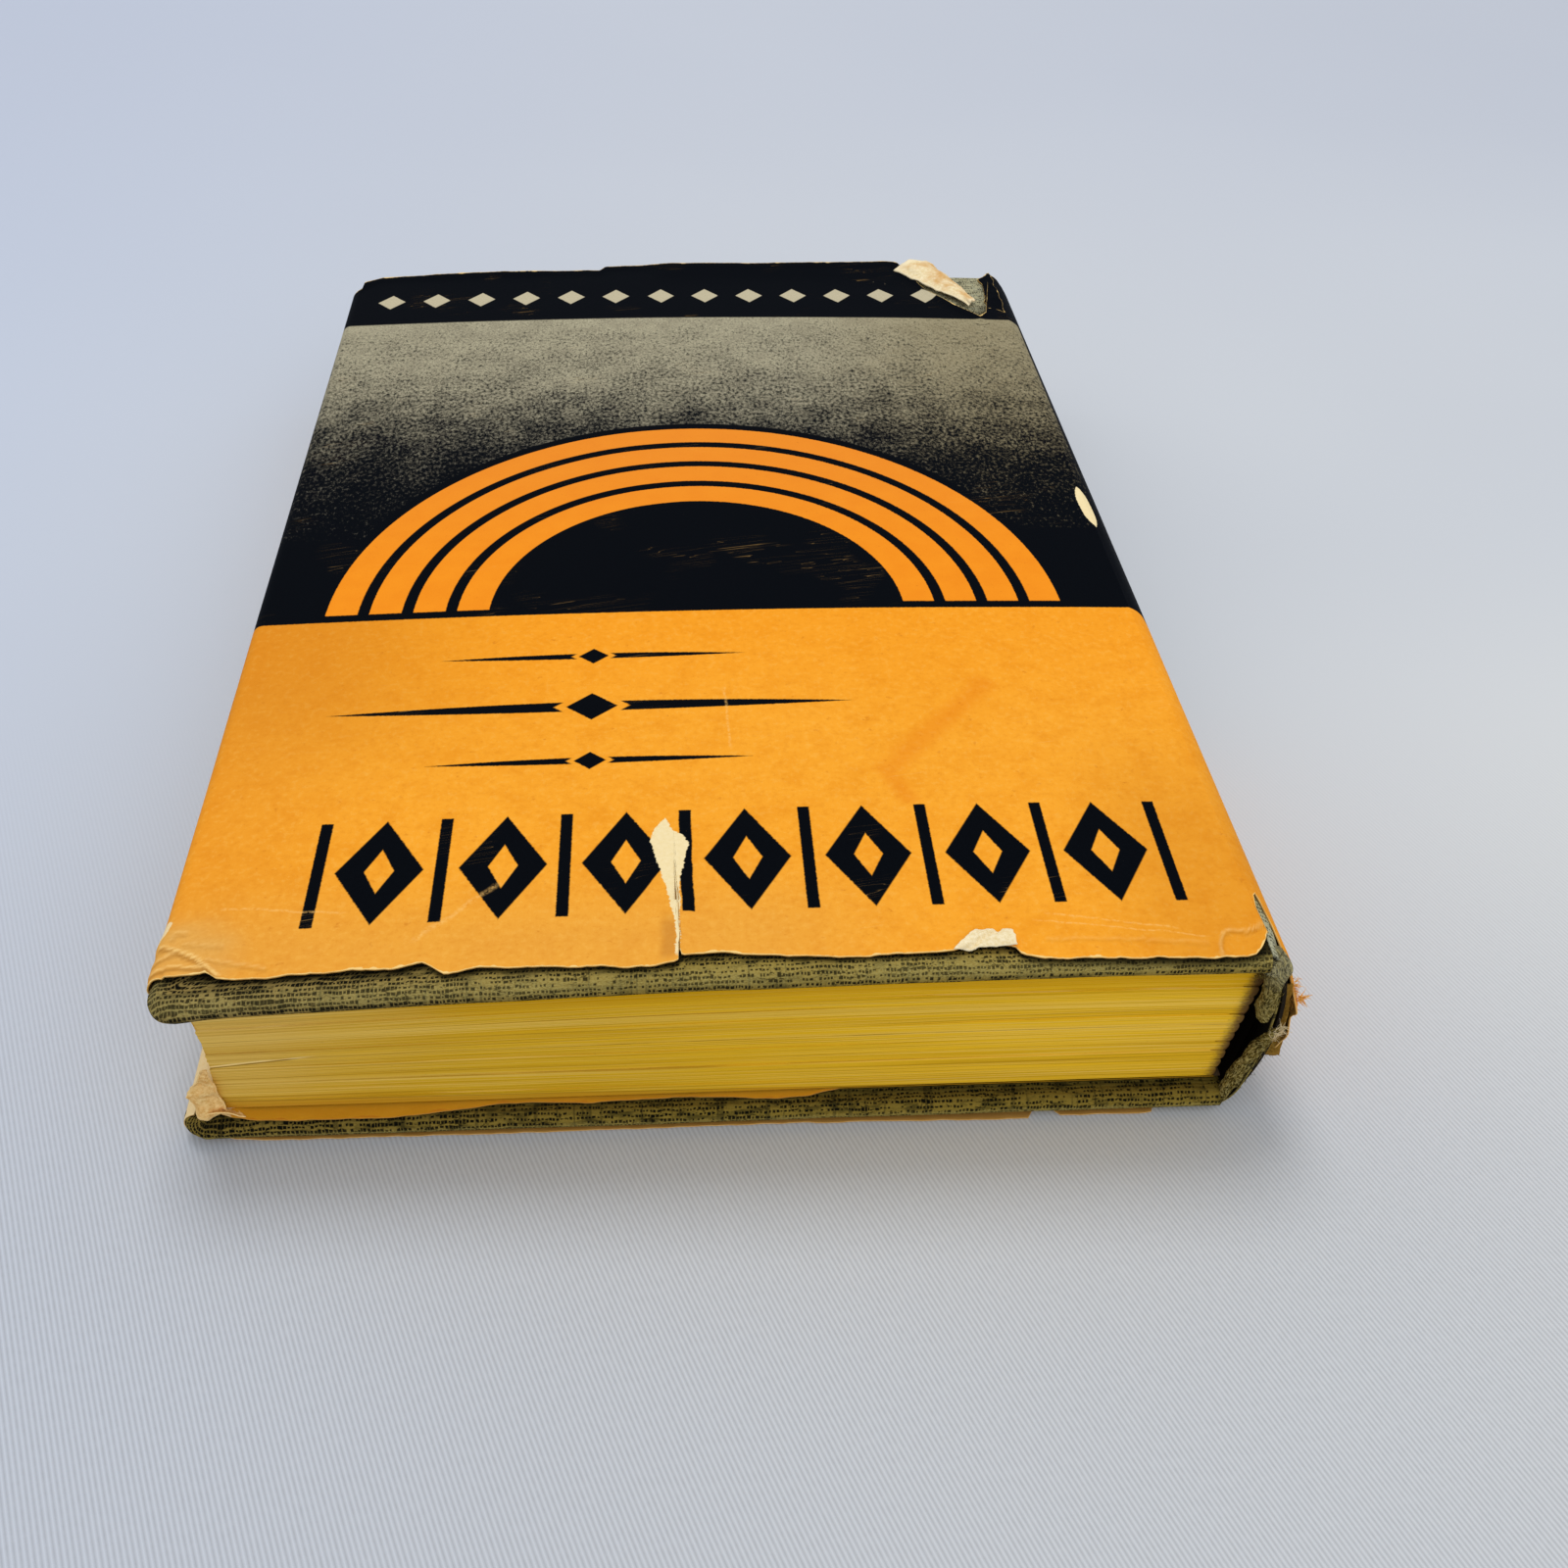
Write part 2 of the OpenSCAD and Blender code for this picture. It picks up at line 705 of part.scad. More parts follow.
// A layer around the jacket's spine, torn at the head
module spine_layer(out0, out1) {
  intersection() {
    along_y(head(0), head(jacket_tail - 3))
      spine_band(-out1, -out0, jacket_lift);
    along_x(0, 2 * board_w)
      polygon(concat(
        [for (p = spine_head_edge) [head(p[0]), p[1] * front_hinge_z]],
        [[head(2 * board_h), -over], [head(2 * board_h), 2 * front_hinge_z],
         [head(spine_head_edge[0][0]), 2 * front_hinge_z]]));
    from_spine_start();
  }
}

module jacket_spine() {
  color([0.9, 0.52, 0.14])
    spine_layer(jacket_slack, jacket_slack + jacket_t);
}

module spine_dark_field() {
  out = jacket_slack + jacket_t + ink_seat;
  color([0.06, 0.07, 0.09])
    intersection() {
      spine_layer(out, out + ink_t);
      translate([0, head(dark_start), jacket_t])
        cube([2 * board_w, board_h, 2 * front_hinge_z]);
    }
}

module patch_plan() {
  polygon([for (p = patch_outline) [fore(p[0]), head(p[1])]]);
}

// Ink on the front panel: a flat shape, turned with the jacket, cut off at the paper's edge
// and missing where the paper has peeled
module front_ink(r0) {
  intersection() {
    front_layer(r0, ink_t);
    plan_prism()
      difference() {
        intersection() {
          front_panel_plan();
          rotate(-jacket_skew)
            children();
        }
        patch_plan();
      }
  }
}

module dark_field() {
  color([0.06, 0.07, 0.09])
    front_ink(ink_r)
      translate([fore(-board_w / 2), head(dark_start)])
        square([2 * board_w, board_h]);
}

module stipple_field() {
  color([0.66, 0.6, 0.5])
    front_ink(over_ink_r)
      difference() {
        translate([fore(-board_w / 2), head(stipple_start)])
          square([2 * board_w, jacket_tail - tail_band - stipple_start]);
        translate([fore(panel_mid), head(dark_start)])
          circle(arch_r + arch_gap, $fn = 96);
      }
}

// Concentric half rings that rise from the dark field's edge
module arches() {
  color([0.93, 0.5, 0.12])
    front_ink(over_ink_r)
      translate([fore(panel_mid), head(dark_start)])
        intersection() {
          for (i = [0 : arch_n - 1])
            difference() {
              circle(arch_r - i * (arch_w + arch_gap), $fn = 96);
              circle(arch_r - i * (arch_w + arch_gap) - arch_w, $fn = 96);
            }
          translate([-arch_r, arch_gap])
            square([2 * arch_r, arch_r]);
        }
}

module lozenge(w, h) {
  polygon([[-w / 2, 0], [0, -h / 2], [w / 2, 0], [0, h / 2]]);
}

// A row of open lozenges between upright bars
module frieze() {
  pitch = 0.82 * board_w / frieze_n;
  color([0.05, 0.05, 0.05])
    front_ink(ink_r)
      translate([fore(panel_mid + 5), head(frieze_y)]) {
        for (i = [0 : frieze_n - 1])
          translate([(i - (frieze_n - 1) / 2) * pitch, 0])
            difference() {
              lozenge(0.72 * pitch, frieze_h);
              lozenge(0.24 * pitch, 0.42 * frieze_h);
            }
        for (i = [0 : frieze_n])
          translate([(i - frieze_n / 2) * pitch - bar_w / 2, -frieze_h / 2])
            square([bar_w, frieze_h]);
      }
}

// A rule that swells to its middle and has a lozenge there
module swelled_rule(l, t) {
  step = 1 / 4;
  difference() {
    polygon(concat(
      [for (u = [-1 : step : 1]) [u * l / 2, (u * u - 1) * t / 2]],
      [for (u = [1 - step : -step : step - 1]) [u * l / 2, (1 - u * u) * t / 2]]));
    lozenge(5 * t, 4 * t);
  }
  lozenge(3.4 * t, 2.8 * t);
}

module rules() {
  color([0.05, 0.05, 0.05])
    front_ink(ink_r)
      translate([fore(panel_mid - 16), head(rule_y)]) {
        swelled_rule(rule_l, rule_t);
        for (side = [-1, 1])
          translate([0, side * 5.5 * rule_t])
            swelled_rule(0.6 * rule_l, 0.6 * rule_t);
      }
}

module pale_row() {
  pitch = 0.9 * board_w / row_n;
  color([0.8, 0.73, 0.6])
    front_ink(over_ink_r)
      translate([fore(panel_mid - 5), head(jacket_tail - row_up)])
        for (i = [0 : row_n - 1])
          translate([(i - (row_n - 1) / 2) * pitch, 0])
            lozenge(0.6 * pitch, row_h);
}

module skinned_patch() {
  color([0.92, 0.85, 0.66])
    intersection() {
      front_layer(ink_r, ink_t);
      plan_prism()
        patch_plan();
    }
}

// A scrap of paper lying on the front panel, lifted at one side
module scrap(x, y, lift, pitch, roll) {
  translate([fore(x), head(y), bow_top(fore(x), over_ink_r + ink_t) + lift])
    rotate([pitch, roll, 0])
      linear_extrude(jacket_t)
        children();
}

module curled_chip() {
  color([0.93, 0.87, 0.68])
    scrap(chip_x, chip_y, 0.9, -12, 0)
      polygon(chip_outline);
}

module tail_curl() {
  color([0.93, 0.84, 0.62])
    scrap(curl_x, curl_y, 0.25, 2.2, 0)
      polygon(curl_outline);
}

front_board();
front_cloth();
front_pastedown();
back_board();
back_cloth();
back_pastedown();
text_block();
front_flyleaf();
back_flyleaf();
spine_mull();
spine_lining();
sewing_thread();
spine_cloth();
spine_inlay();
jacket_front();
jacket_spine();
jacket_back();
dark_field();
stipple_field();
arches();
frieze();
rules();
pale_row();
spine_dark_field();
skinned_patch();
curled_chip();
tail_curl();
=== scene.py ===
# %% [markdown]
# # A worn hardcover book in a torn paper jacket
# This lesson dresses a book whose solid parts were built first as exact solids.
# Those solids are the frame: they keep their place, and each visible layer is built over them.
# All lengths in the helpers are millimetres, because paper and cloth are thin. Blender gets metres.

# %% Load the frame
import json
from math import asin, atan2, cos, hypot, pi, radians, sin

import bpy
import numpy as np
from mathutils import Matrix, Vector


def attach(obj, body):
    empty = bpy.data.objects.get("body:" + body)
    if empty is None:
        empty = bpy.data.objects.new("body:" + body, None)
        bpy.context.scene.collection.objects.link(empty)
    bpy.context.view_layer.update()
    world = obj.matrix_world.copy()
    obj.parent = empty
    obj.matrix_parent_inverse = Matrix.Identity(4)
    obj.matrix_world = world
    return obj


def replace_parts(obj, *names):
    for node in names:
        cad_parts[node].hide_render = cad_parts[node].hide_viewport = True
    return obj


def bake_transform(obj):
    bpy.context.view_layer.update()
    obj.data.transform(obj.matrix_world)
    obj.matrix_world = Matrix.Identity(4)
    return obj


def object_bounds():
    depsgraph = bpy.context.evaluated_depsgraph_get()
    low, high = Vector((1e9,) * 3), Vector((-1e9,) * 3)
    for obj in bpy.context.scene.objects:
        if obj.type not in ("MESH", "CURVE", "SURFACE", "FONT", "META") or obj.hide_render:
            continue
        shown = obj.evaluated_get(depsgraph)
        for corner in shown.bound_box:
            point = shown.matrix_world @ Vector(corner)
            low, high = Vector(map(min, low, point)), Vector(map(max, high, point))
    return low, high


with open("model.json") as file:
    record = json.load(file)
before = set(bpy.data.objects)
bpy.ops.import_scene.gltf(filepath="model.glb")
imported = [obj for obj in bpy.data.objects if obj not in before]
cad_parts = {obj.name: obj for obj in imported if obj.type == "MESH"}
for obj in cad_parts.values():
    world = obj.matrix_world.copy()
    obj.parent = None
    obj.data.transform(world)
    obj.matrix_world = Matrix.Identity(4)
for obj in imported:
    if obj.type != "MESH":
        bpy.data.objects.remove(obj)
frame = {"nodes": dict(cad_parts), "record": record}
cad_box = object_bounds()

# %% [markdown]
# ## The camera
# The photograph was taken from close by, so its perspective is strong. The place, the turn and
# the lens were solved from the covers' edges, and are written here as one point and three axes.

# %% Camera
def place_camera(point, right, up, look, lens):
    data = bpy.data.cameras.new("photo_camera")
    data.lens = lens
    data.sensor_width = 36
    data.clip_start = 0.005
    eye = bpy.data.objects.new("photo_camera", data)
    bpy.context.scene.collection.objects.link(eye)
    turn = Matrix([right, up, [-c for c in look]]).transposed().to_4x4()
    eye.matrix_world = Matrix.Translation(point) @ turn
    bpy.context.scene.camera = eye
    return eye


camera = place_camera(
    Vector((-0.008397, -0.227913, 0.172134)),
    (0.99579, -0.07740, 0.04911), (0.01426, 0.66008, 0.75106), (0.09055, 0.74720, -0.65841),
    36.045)
print("camera lens:", round(camera.data.lens, 2))

# %% [markdown]
# ## Shader maths as sentences
# A shader is a graph of small nodes. Wiring dozens of Math nodes by hand hides the idea, so one
# small class wraps a socket and lets Python's own operators add the nodes. The reflected forms
# make `1 - mask` work as well as `mask - 1`.

# %% Sockets that calculate
class Amount:
    """A number or a colour that varies over the surface."""

    def __init__(self, bench, socket):
        self.bench, self.socket = bench, socket

    def maths(self, operation, *values):
        return self.bench.add("ShaderNodeMath", {"operation": operation}, dict(enumerate(values)))

    def __add__(self, other):
        return self.maths("ADD", self, other)

    def __sub__(self, other):
        return self.maths("SUBTRACT", self, other)

    def __rsub__(self, other):
        return self.maths("SUBTRACT", other, self)

    def __mul__(self, other):
        return self.maths("MULTIPLY", self, other)

    def __truediv__(self, other):
        return self.maths("DIVIDE", self, other)

    def __pow__(self, other):
        return self.maths("POWER", self, other)

    def __mod__(self, other):
        return self.maths("FLOORED_MODULO", self, other)

    def __abs__(self):
        return self.maths("ABSOLUTE", self)

    __radd__ = __add__
    __rmul__ = __mul__

    def most(self, other):
        return self.maths("MAXIMUM", self, other)

    def floor(self):
        return self.maths("FLOOR", self)

    def root(self):
        return self.maths("SQRT", self)

    def output(self, name):
        """Another output of the same node."""
        return Amount(self.bench, self.socket.node.outputs[name])


def paint(red, green, blue):
    """A colour as a picture shows it, 0 to 255, turned into the light that Blender mixes."""
    def light(c):
        c /= 255
        return c / 12.92 if c <= 0.04045 else ((c + 0.055) / 1.055) ** 2.4
    return (light(red), light(green), light(blue), 1)


print("middle grey as light:", round(paint(128, 128, 128)[0], 3))

# %% [markdown]
# ## One bench for every node tree
# The bench holds a node tree. One method puts any node on it: the settings are made first, since
# they can change the sockets, and each socket then gets a value or a link. The room's light and
# every material use the same bench.

# %% The bench
class Bench:
    def __init__(self, tree):
        self.tree = tree

    def add(self, kind, settings=None, inputs=None, out=0):
        node = self.tree.nodes.new(kind)
        for key, value in (settings or {}).items():
            setattr(node, key, value)
        for key, value in (inputs or {}).items():
            if isinstance(value, Amount):
                self.tree.links.new(value.socket, node.inputs[key])
            else:
                node.inputs[key].default_value = value
        return Amount(self, node.outputs[out])

    def mix(self, factor, a, b):
        """Colour a where factor is 0, colour b where it is 1."""
        return self.add("ShaderNodeMix", {"data_type": "RGBA", "clamp_factor": True},
                        {0: factor, 6: a, 7: b}, out=2)

    def wash(self, colour, layers):
        """Lays thin paints over a colour. Each layer is a mask and a colour from 0 to 255."""
        for mask, rgb in layers:
            colour = self.mix(mask, colour, paint(*rgb))
        return colour

    def show(self, node, links):
        """Leads each result to a socket of the tree's last node."""
        for name, value in links.items():
            if value is not None:
                self.tree.links.new(value.socket, self.tree.nodes[node].inputs[name])


print("bench methods:", [name for name in vars(Bench) if not name.startswith("_")])

# %% [markdown]
# ## A material on the bench
# Each finish starts with a Principled shader, and methods that add what these finishes need, such
# as noise, smooth steps and bumps. A mark is a value that the mesh carries on its points.

# %% Finishes
class Finish(Bench):
    def __init__(self, name, roughness=0.7, specular=0.3):
        self.material = bpy.data.materials.new(name)
        self.material.use_nodes = True
        super().__init__(self.material.node_tree)
        shader = self.tree.nodes["Principled BSDF"]
        shader.inputs["Roughness"].default_value = roughness
        shader.inputs["Specular IOR Level"].default_value = specular

    def place(self):
        """Object coordinates in millimetres. A frame node's object sits at the origin."""
        where = self.add("ShaderNodeTexCoord", out="Object")
        return self.add("ShaderNodeVectorMath", {"operation": "SCALE"}, {0: where, "Scale": 1000.0})

    def mark(self, name, out="Fac"):
        return self.add("ShaderNodeAttribute", {"attribute_name": name}, out=out)

    def axes(self, vector):
        part = self.add("ShaderNodeSeparateXYZ", None, {0: vector})
        return [part.output(name) for name in "XYZ"]

    def join(self, x, y, z=0.0):
        return self.add("ShaderNodeCombineXYZ", None, {0: x, 1: y, 2: z})

    def noise(self, vector, scale, detail=3.0, rough=0.55):
        inputs = {"Vector": vector, "Scale": scale, "Detail": detail, "Roughness": rough}
        return self.add("ShaderNodeTexNoise", None, inputs)

    def step(self, value, low, high, start=0.0, end=1.0):
        """A smooth step from start, at low, to end, at high."""
        return self.add("ShaderNodeMapRange", {"interpolation_type": "SMOOTHSTEP"},
                        {0: value, 1: low, 2: high, 3: start, 4: end})

    def curve(self, value, stops, span, low, high):
        """A line through (place, height) stops. Places run from 0 to span, heights from low to high."""
        height = self.add("ShaderNodeFloatCurve", None, {"Value": value / span})
        mapping = height.socket.node.mapping
        points = mapping.curves[0].points
        shares = [(place / span, (level - low) / (high - low)) for place, level in stops]
        points[0].location, points[1].location = shares[0], shares[-1]
        for share in shares[1:-1]:
            points.new(*share)
        for point in points:
            point.handle_type = "VECTOR"
        mapping.update()
        return height * (high - low) + low

    def bump(self, height, depth, strength=1.0):
        return self.add("ShaderNodeBump", None,
                        {"Height": height, "Distance": depth / 1000, "Strength": strength})

    def finish(self, colour, roughness=None, normal=None):
        self.show("Principled BSDF", {"Base Color": colour, "Roughness": roughness, "Normal": normal})
        return self.material


print("finish methods:", [name for name in vars(Finish) if not name.startswith("_")])

# %% [markdown]
# ## Smooth noise for shapes
# Paper never tears along a straight line, and cloth never lies quite flat. A value noise in
# numpy gives every point the same small shift in every run.

# %% Noise in numpy
def speck(ix, iy, seed):
    """A number from 0 to 1 that belongs to one cell of a grid."""
    n = (ix * 374761393 + iy * 668265263 + seed * 974711) & 0xFFFFFFFF
    n = ((n ^ (n >> 13)) * 1274126177) & 0xFFFFFFFF
    return ((n ^ (n >> 16)) & 0xFFFF) / 65535.0


def waves(x, y, size, seed):
    """Smooth noise from -1 to 1, with features about size across."""
    x, y = np.broadcast_arrays(np.asarray(x, float) / size, np.asarray(y, float) / size)
    ix, iy = np.floor(x).astype(np.int64), np.floor(y).astype(np.int64)
    fx, fy = x - ix, y - iy
    fx, fy = fx * fx * (3 - 2 * fx), fy * fy * (3 - 2 * fy)
    near = speck(ix, iy, seed) * (1 - fx) + speck(ix + 1, iy, seed) * fx
    far = speck(ix, iy + 1, seed) * (1 - fx) + speck(ix + 1, iy + 1, seed) * fx
    return 2 * (near * (1 - fy) + far * fy) - 1


def rough(x, y, size, seed, layers=4):
    """Waves with finer and weaker waves on top."""
    total = sum(waves(x, y, size / 2 ** i, seed + i) / 2 ** i for i in range(layers))
    return total / (2 - 2 ** (1 - layers))


def fade(value, near, far):
    """1 up to near, 0 beyond far, smooth between."""
    t = np.clip((np.asarray(value, float) - near) / (far - near), 0, 1)
    return 1 - t * t * (3 - 2 * t)


print("roughness along a line:", rough(np.arange(5), 0, 3, 1).round(2))

# %% [markdown]
# ## From points to a piece
# A mesh is a list of points and a list of faces. The points carry marks for the shader: where
# they lie on the flat sheet, how far they are from an edge, and which side they are on.

# %% Pieces from points
def build(name, points, faces, material, marks=None, flat_from=None):
    """A smooth mesh, whose faces from number flat_from on are flat."""
    mesh = bpy.data.meshes.new(name)
    mesh.from_pydata((np.asarray(points) / 1000).tolist(), [], faces)
    for key, values in (marks or {}).items():
        values = np.asarray(values, np.float32)
        is_vector = values.ndim == 2
        layer = mesh.attributes.new(key, "FLOAT_VECTOR" if is_vector else "FLOAT", "POINT")
        layer.data.foreach_set("vector" if is_vector else "value", values.ravel())
    smooth = np.ones(len(mesh.polygons), bool)
    if flat_from is not None:
        smooth[flat_from:] = False
    mesh.polygons.foreach_set("use_smooth", smooth)
    mesh.materials.append(material)
    mesh.update()
    piece = bpy.data.objects.new(name, mesh)
    bpy.context.scene.collection.objects.link(piece)
    return piece


print("pieces are built in metres from millimetres: 1 mm is", 1 / 1000)

# %% [markdown]
# ## From grids to closed sheets
# A sheet of paper is a grid of points. Its back is the same grid moved inward by the paper's
# thickness, and a rim closes the two.

# %% Closed sheets
def grid_faces(m, n, start=0, flip=False):
    i, j = np.meshgrid(np.arange(m - 1), np.arange(n - 1), indexing="ij")
    a = start + (i * n + j).ravel()
    quads = np.stack([a, a + n, a + n + 1, a + 1], axis=1)
    return (quads[:, ::-1] if flip else quads).tolist()


def grid_normals(grid):
    across = np.gradient(grid, axis=0)
    along = np.gradient(grid, axis=1)
    n = np.cross(across, along)
    return n / np.maximum(np.linalg.norm(n, axis=2, keepdims=True), 1e-9)


def sheet_piece(name, grid, normals, thickness, material, marks):
    """A closed sheet: grid is its outer face, and normals point outward."""
    m, n = grid.shape[:2]
    points = np.concatenate([grid.reshape(-1, 3), (grid - normals * thickness).reshape(-1, 3)])
    flip = np.einsum("ijk,ijk->ij", grid_normals(grid), normals).mean() < 0
    faces = grid_faces(m, n, 0, flip) + grid_faces(m, n, m * n, not flip)
    ring = [i * n for i in range(m)] + [(m - 1) * n + j for j in range(1, n)]
    ring += [i * n + n - 1 for i in range(m - 2, -1, -1)] + list(range(n - 2, 0, -1))
    rim_start = len(faces)
    for a, b in zip(ring, ring[1:] + ring[:1]):
        quad = [a, b, b + m * n, a + m * n]
        faces.append(quad if flip else quad[::-1])
    both = {"side": np.repeat([0.0, 1.0], m * n)}
    for key, values in marks.items():
        one_side = np.asarray(values, float).reshape(m * n, -1)
        two_sides = np.concatenate([one_side, one_side])
        both[key] = two_sides if two_sides.shape[1] == 3 else two_sides[:, 0]
    return build(name, points, faces, material, both, rim_start)


print("faces of a 3 by 4 grid:", len(grid_faces(3, 4)))

# %% [markdown]
# ## The book's section
# The pages are thicker at the sewn spine, so the front cover slopes, and it bows a little.
# Every sheet over the pages follows one wide arc, at its own radius. The numbers repeat the
# construction's, because each layer has to lie on the layer below.

# %% Section of the book
board_w, board_h, cover_t = 135.0, 203.0, 3.2
half_w, half_h = board_w / 2, board_h / 2
bow_x, bow_z, bow_tilt = 54.8036, -1872.80, radians(1.65475)
page_r, cloth_inner_r, jacket_r = 1899.04, 1900.04, 1903.54
hinge_x, cover_end_x, spine_start_x = 69.7, 69.625, 69.775
front_hinge_z = 30.993
shoulder = dict(x=67.7, top=25.2597, low=5.4235, r=5.5, reach=7.2)


def bow(x, radius):
    """Height of a bowed layer at x."""
    return bow_z + np.sqrt(radius ** 2 - (np.asarray(x, float) - bow_x) ** 2)


def bow_line(x0, x1, radius, step):
    x = np.linspace(x0, x1, max(2, int(abs(x1 - x0) / step) + 1))
    return np.stack([x, bow(x, radius)], axis=1)


def arc_line(cx, cz, r, a0, a1, step):
    a = np.linspace(a0, a1, max(3, int(abs(a1 - a0) * r / step) + 1))
    return np.stack([cx + r * np.sin(a), cz + r * np.cos(a)], axis=1)


def spine_line(inset, lift, step):
    """The spine's section from the front joint down to the back joint."""
    mid = (shoulder["top"] + shoulder["low"]) / 2
    half = (shoulder["top"] - shoulder["low"]) / 2
    r = shoulder["r"] - inset
    reach = shoulder["reach"] + lift - inset
    wide_r = (reach ** 2 + half ** 2 - r ** 2) / (2 * (reach - r))
    wide_x = shoulder["x"] + reach - wide_r
    meet = atan2(shoulder["x"] - wide_x, half)
    start = asin((spine_start_x - shoulder["x"]) / r)
    top = arc_line(shoulder["x"], shoulder["top"], r, start, meet, step)
    back = arc_line(wide_x, mid, wide_r, meet, pi - meet, step)
    low = arc_line(shoulder["x"], shoulder["low"], r, pi - meet, pi - start, step)
    return np.concatenate([top, back[1:], low[1:]])


def run_along(path):
    """Length of the path up to each of its points."""
    return np.concatenate([[0], np.cumsum(np.hypot(*np.diff(path, axis=0).T))])


def left_of(path):
    """Unit vectors at a right angle to the path, to its left."""
    tangent = np.gradient(path, axis=0)
    tangent /= np.linalg.norm(tangent, axis=1, keepdims=True)
    return np.stack([-tangent[:, 1], tangent[:, 0]], 1)


print("spine section from", spine_line(0, 0, 1)[0].round(2), "to", spine_line(0, 0, 1)[-1].round(2))

# %% [markdown]
# ## Torn outlines
# The jacket's edges repeat the construction's torn outlines. Each pair is a share of the way
# across and a distance in millimetres from the cover's head edge, or past the jacket's tail.
# The spine's shares run from its low edge up to the front joint.

# %% Torn outlines
head_tear = np.array([
    [-0.06, 4.8], [0.03, 5.0], [0.050, 4.9], [0.060, 4.0], [0.095, 3.8], [0.14, 3.9], [0.18, 4.3],
    [0.215, 4], [0.24, 4.7], [0.262, 2.7], [0.29, 3.6], [0.34, 3.2], [0.39, 2.8], [0.425, 2.3],
    [0.465, 2.8], [0.4690, 3.1], [0.4695, 13.0], [0.4700, 13.2], [0.4706, 5.0], [0.4722, 4.1],
    [0.476, 3.9], [0.51, 4], [0.56, 3.3], [0.61, 2.6], [0.67, 2.7], [0.71, 2.9], [0.7235, 3.3],
    [0.735, 3.7], [0.75, 3.9], [0.765, 3.7], [0.776, 3.2], [0.781, 2.0], [0.8, 1.3], [0.87, 0.9],
    [0.95, 0.5], [0.972, 0.5], [0.988, 0.6], [0.998, 1.0], [1.005, 1.9], [1.011, 3.2], [1.016, 4.6]])
tail_tear = np.array([
    [-0.06, -9], [0.008, -4], [0.04, -1.2], [0.2, -0.6], [0.384, -1], [0.392, 0.9], [0.46, 1.2],
    [0.62, 0.8], [0.84, 1.4], [0.865, 0.6], [0.9, -12], [0.94, -19], [0.972, -24], [0.985, -22],
    [1.005, -8.5], [1.01, -4.5], [1.04, -3.5]])
spine_tear = np.array([
    [-0.06, 16], [0.16, 14], [0.21, 9], [0.23, 3.4], [0.27, 3], [0.38, 1.8], [0.46, 1.3],
    [0.54, 2.3], [0.585, 1.5], [0.62, 0.7], [0.67, 2.2], [0.72, 3.3], [0.775, 3.7], [0.8, 2.3],
    [0.86, 2.6], [0.92, 4.6], [0.955, 9.0], [0.972, 12.0], [0.982, 11.5], [0.988, 9.4],
    [0.994, 7.6], [1.0, 6.3]])
jacket_tail = 205.5
print("stops:", len(head_tear), len(tail_tear), len(spine_tear))

# %% [markdown]
# ## The floor
# The book lies on a pale sheet with fine slanting lines, bluer to the left and far away. The
# floor is part of the stage, not of the book.

# %% Floor
def floor_finish():
    f = Finish("pale_sheet", roughness=0.85, specular=0.1)
    where = f.place()
    x, y, _ = f.axes(where)
    tone = f.noise(where, 0.004, 2.0)
    lines = abs(((x * 0.93 + y * 0.37) / 0.62) % 1.0 - 0.5) * 2.0
    fine = f.noise(where, 0.9, 2.0)
    near = f.step(y, 0.0, -130.0)
    # Painted light: the floor lighter at the front right of the book
    lit_front_right = f.step(x, 40.0, 220.0) * f.step(y, 60.0, -60.0)
    colour = f.mix(tone, paint(194, 197, 202), paint(208, 211, 213))
    colour = f.wash(colour, [
        (f.step(x, 60.0, -260.0) * 0.7, (180, 191, 213)),
        (lit_front_right * 0.6, (222, 221, 214)),
        (f.step(y, 40.0, 360.0) * 0.6, (184, 189, 201)),
        (lines * near * (0.26 + fine * 0.24), (122, 122, 124))])
    return f.finish(colour, normal=f.bump(lines * near + fine * 0.3, 0.04, 0.3))


bpy.ops.mesh.primitive_plane_add(size=6)
floor = bpy.context.object
floor.name = "floor"
floor.location.z = min(cad_box[0][2], 0.0) - 0.0001
floor.data.materials.append(floor_finish())
print("floor at z =", round(floor.location.z, 5))

# %% [markdown]
# ## Lamps and room
# A soft window behind the book and a weak fill in front of it. The room looks pale to the camera
# and in reflections, but it lights the book only at a plain level.

# %% Lamps and room
def soft_lamp(name, place, size, watts, colour):
    """A square lamp that looks at the book."""
    data = bpy.data.lights.new(name, "AREA")
    data.energy, data.size, data.color = watts, size, colour
    lamp = bpy.data.objects.new(name, data)
    bpy.context.scene.collection.objects.link(lamp)
    lamp.location = place
    lamp.rotation_euler = (-Vector(place)).to_track_quat("-Z", "Y").to_euler()


soft_lamp("window", (-0.16, 0.62, 1.60), 0.7, 11.4, (0.97, 0.985, 1))
soft_lamp("front_fill", (0.5, -1.4, 1.0), 1.5, 7, (1, 0.97, 0.93))

world = bpy.data.worlds.new("pale_room")
bpy.context.scene.world = world
world.use_nodes = True
room = Bench(world.node_tree)
ray = room.add("ShaderNodeLightPath", out="Is Camera Ray")
seen = ray.most(ray.output("Is Glossy Ray")).most(ray.output("Is Transmission Ray"))
plain_light, pale_backdrop = (0.62, 0.64, 0.68, 1), paint(208, 213, 224)
room.show("Background", {"Color": room.mix(seen, plain_light, pale_backdrop)})
bpy.context.scene.view_settings.view_transform = "Standard"

# %% [markdown]
# ## Dashes on the book cloth
# The case is covered in khaki cloth with short black dashes printed in rows. The rows waver, and
# the dashes break up, crowd together and thin out. Each dash is one cell of a grid, and a random
# number for the cell sets its size or leaves it out.

# %% Dashes on the cloth
dash_pitch, row_pitch = 0.50, 0.70


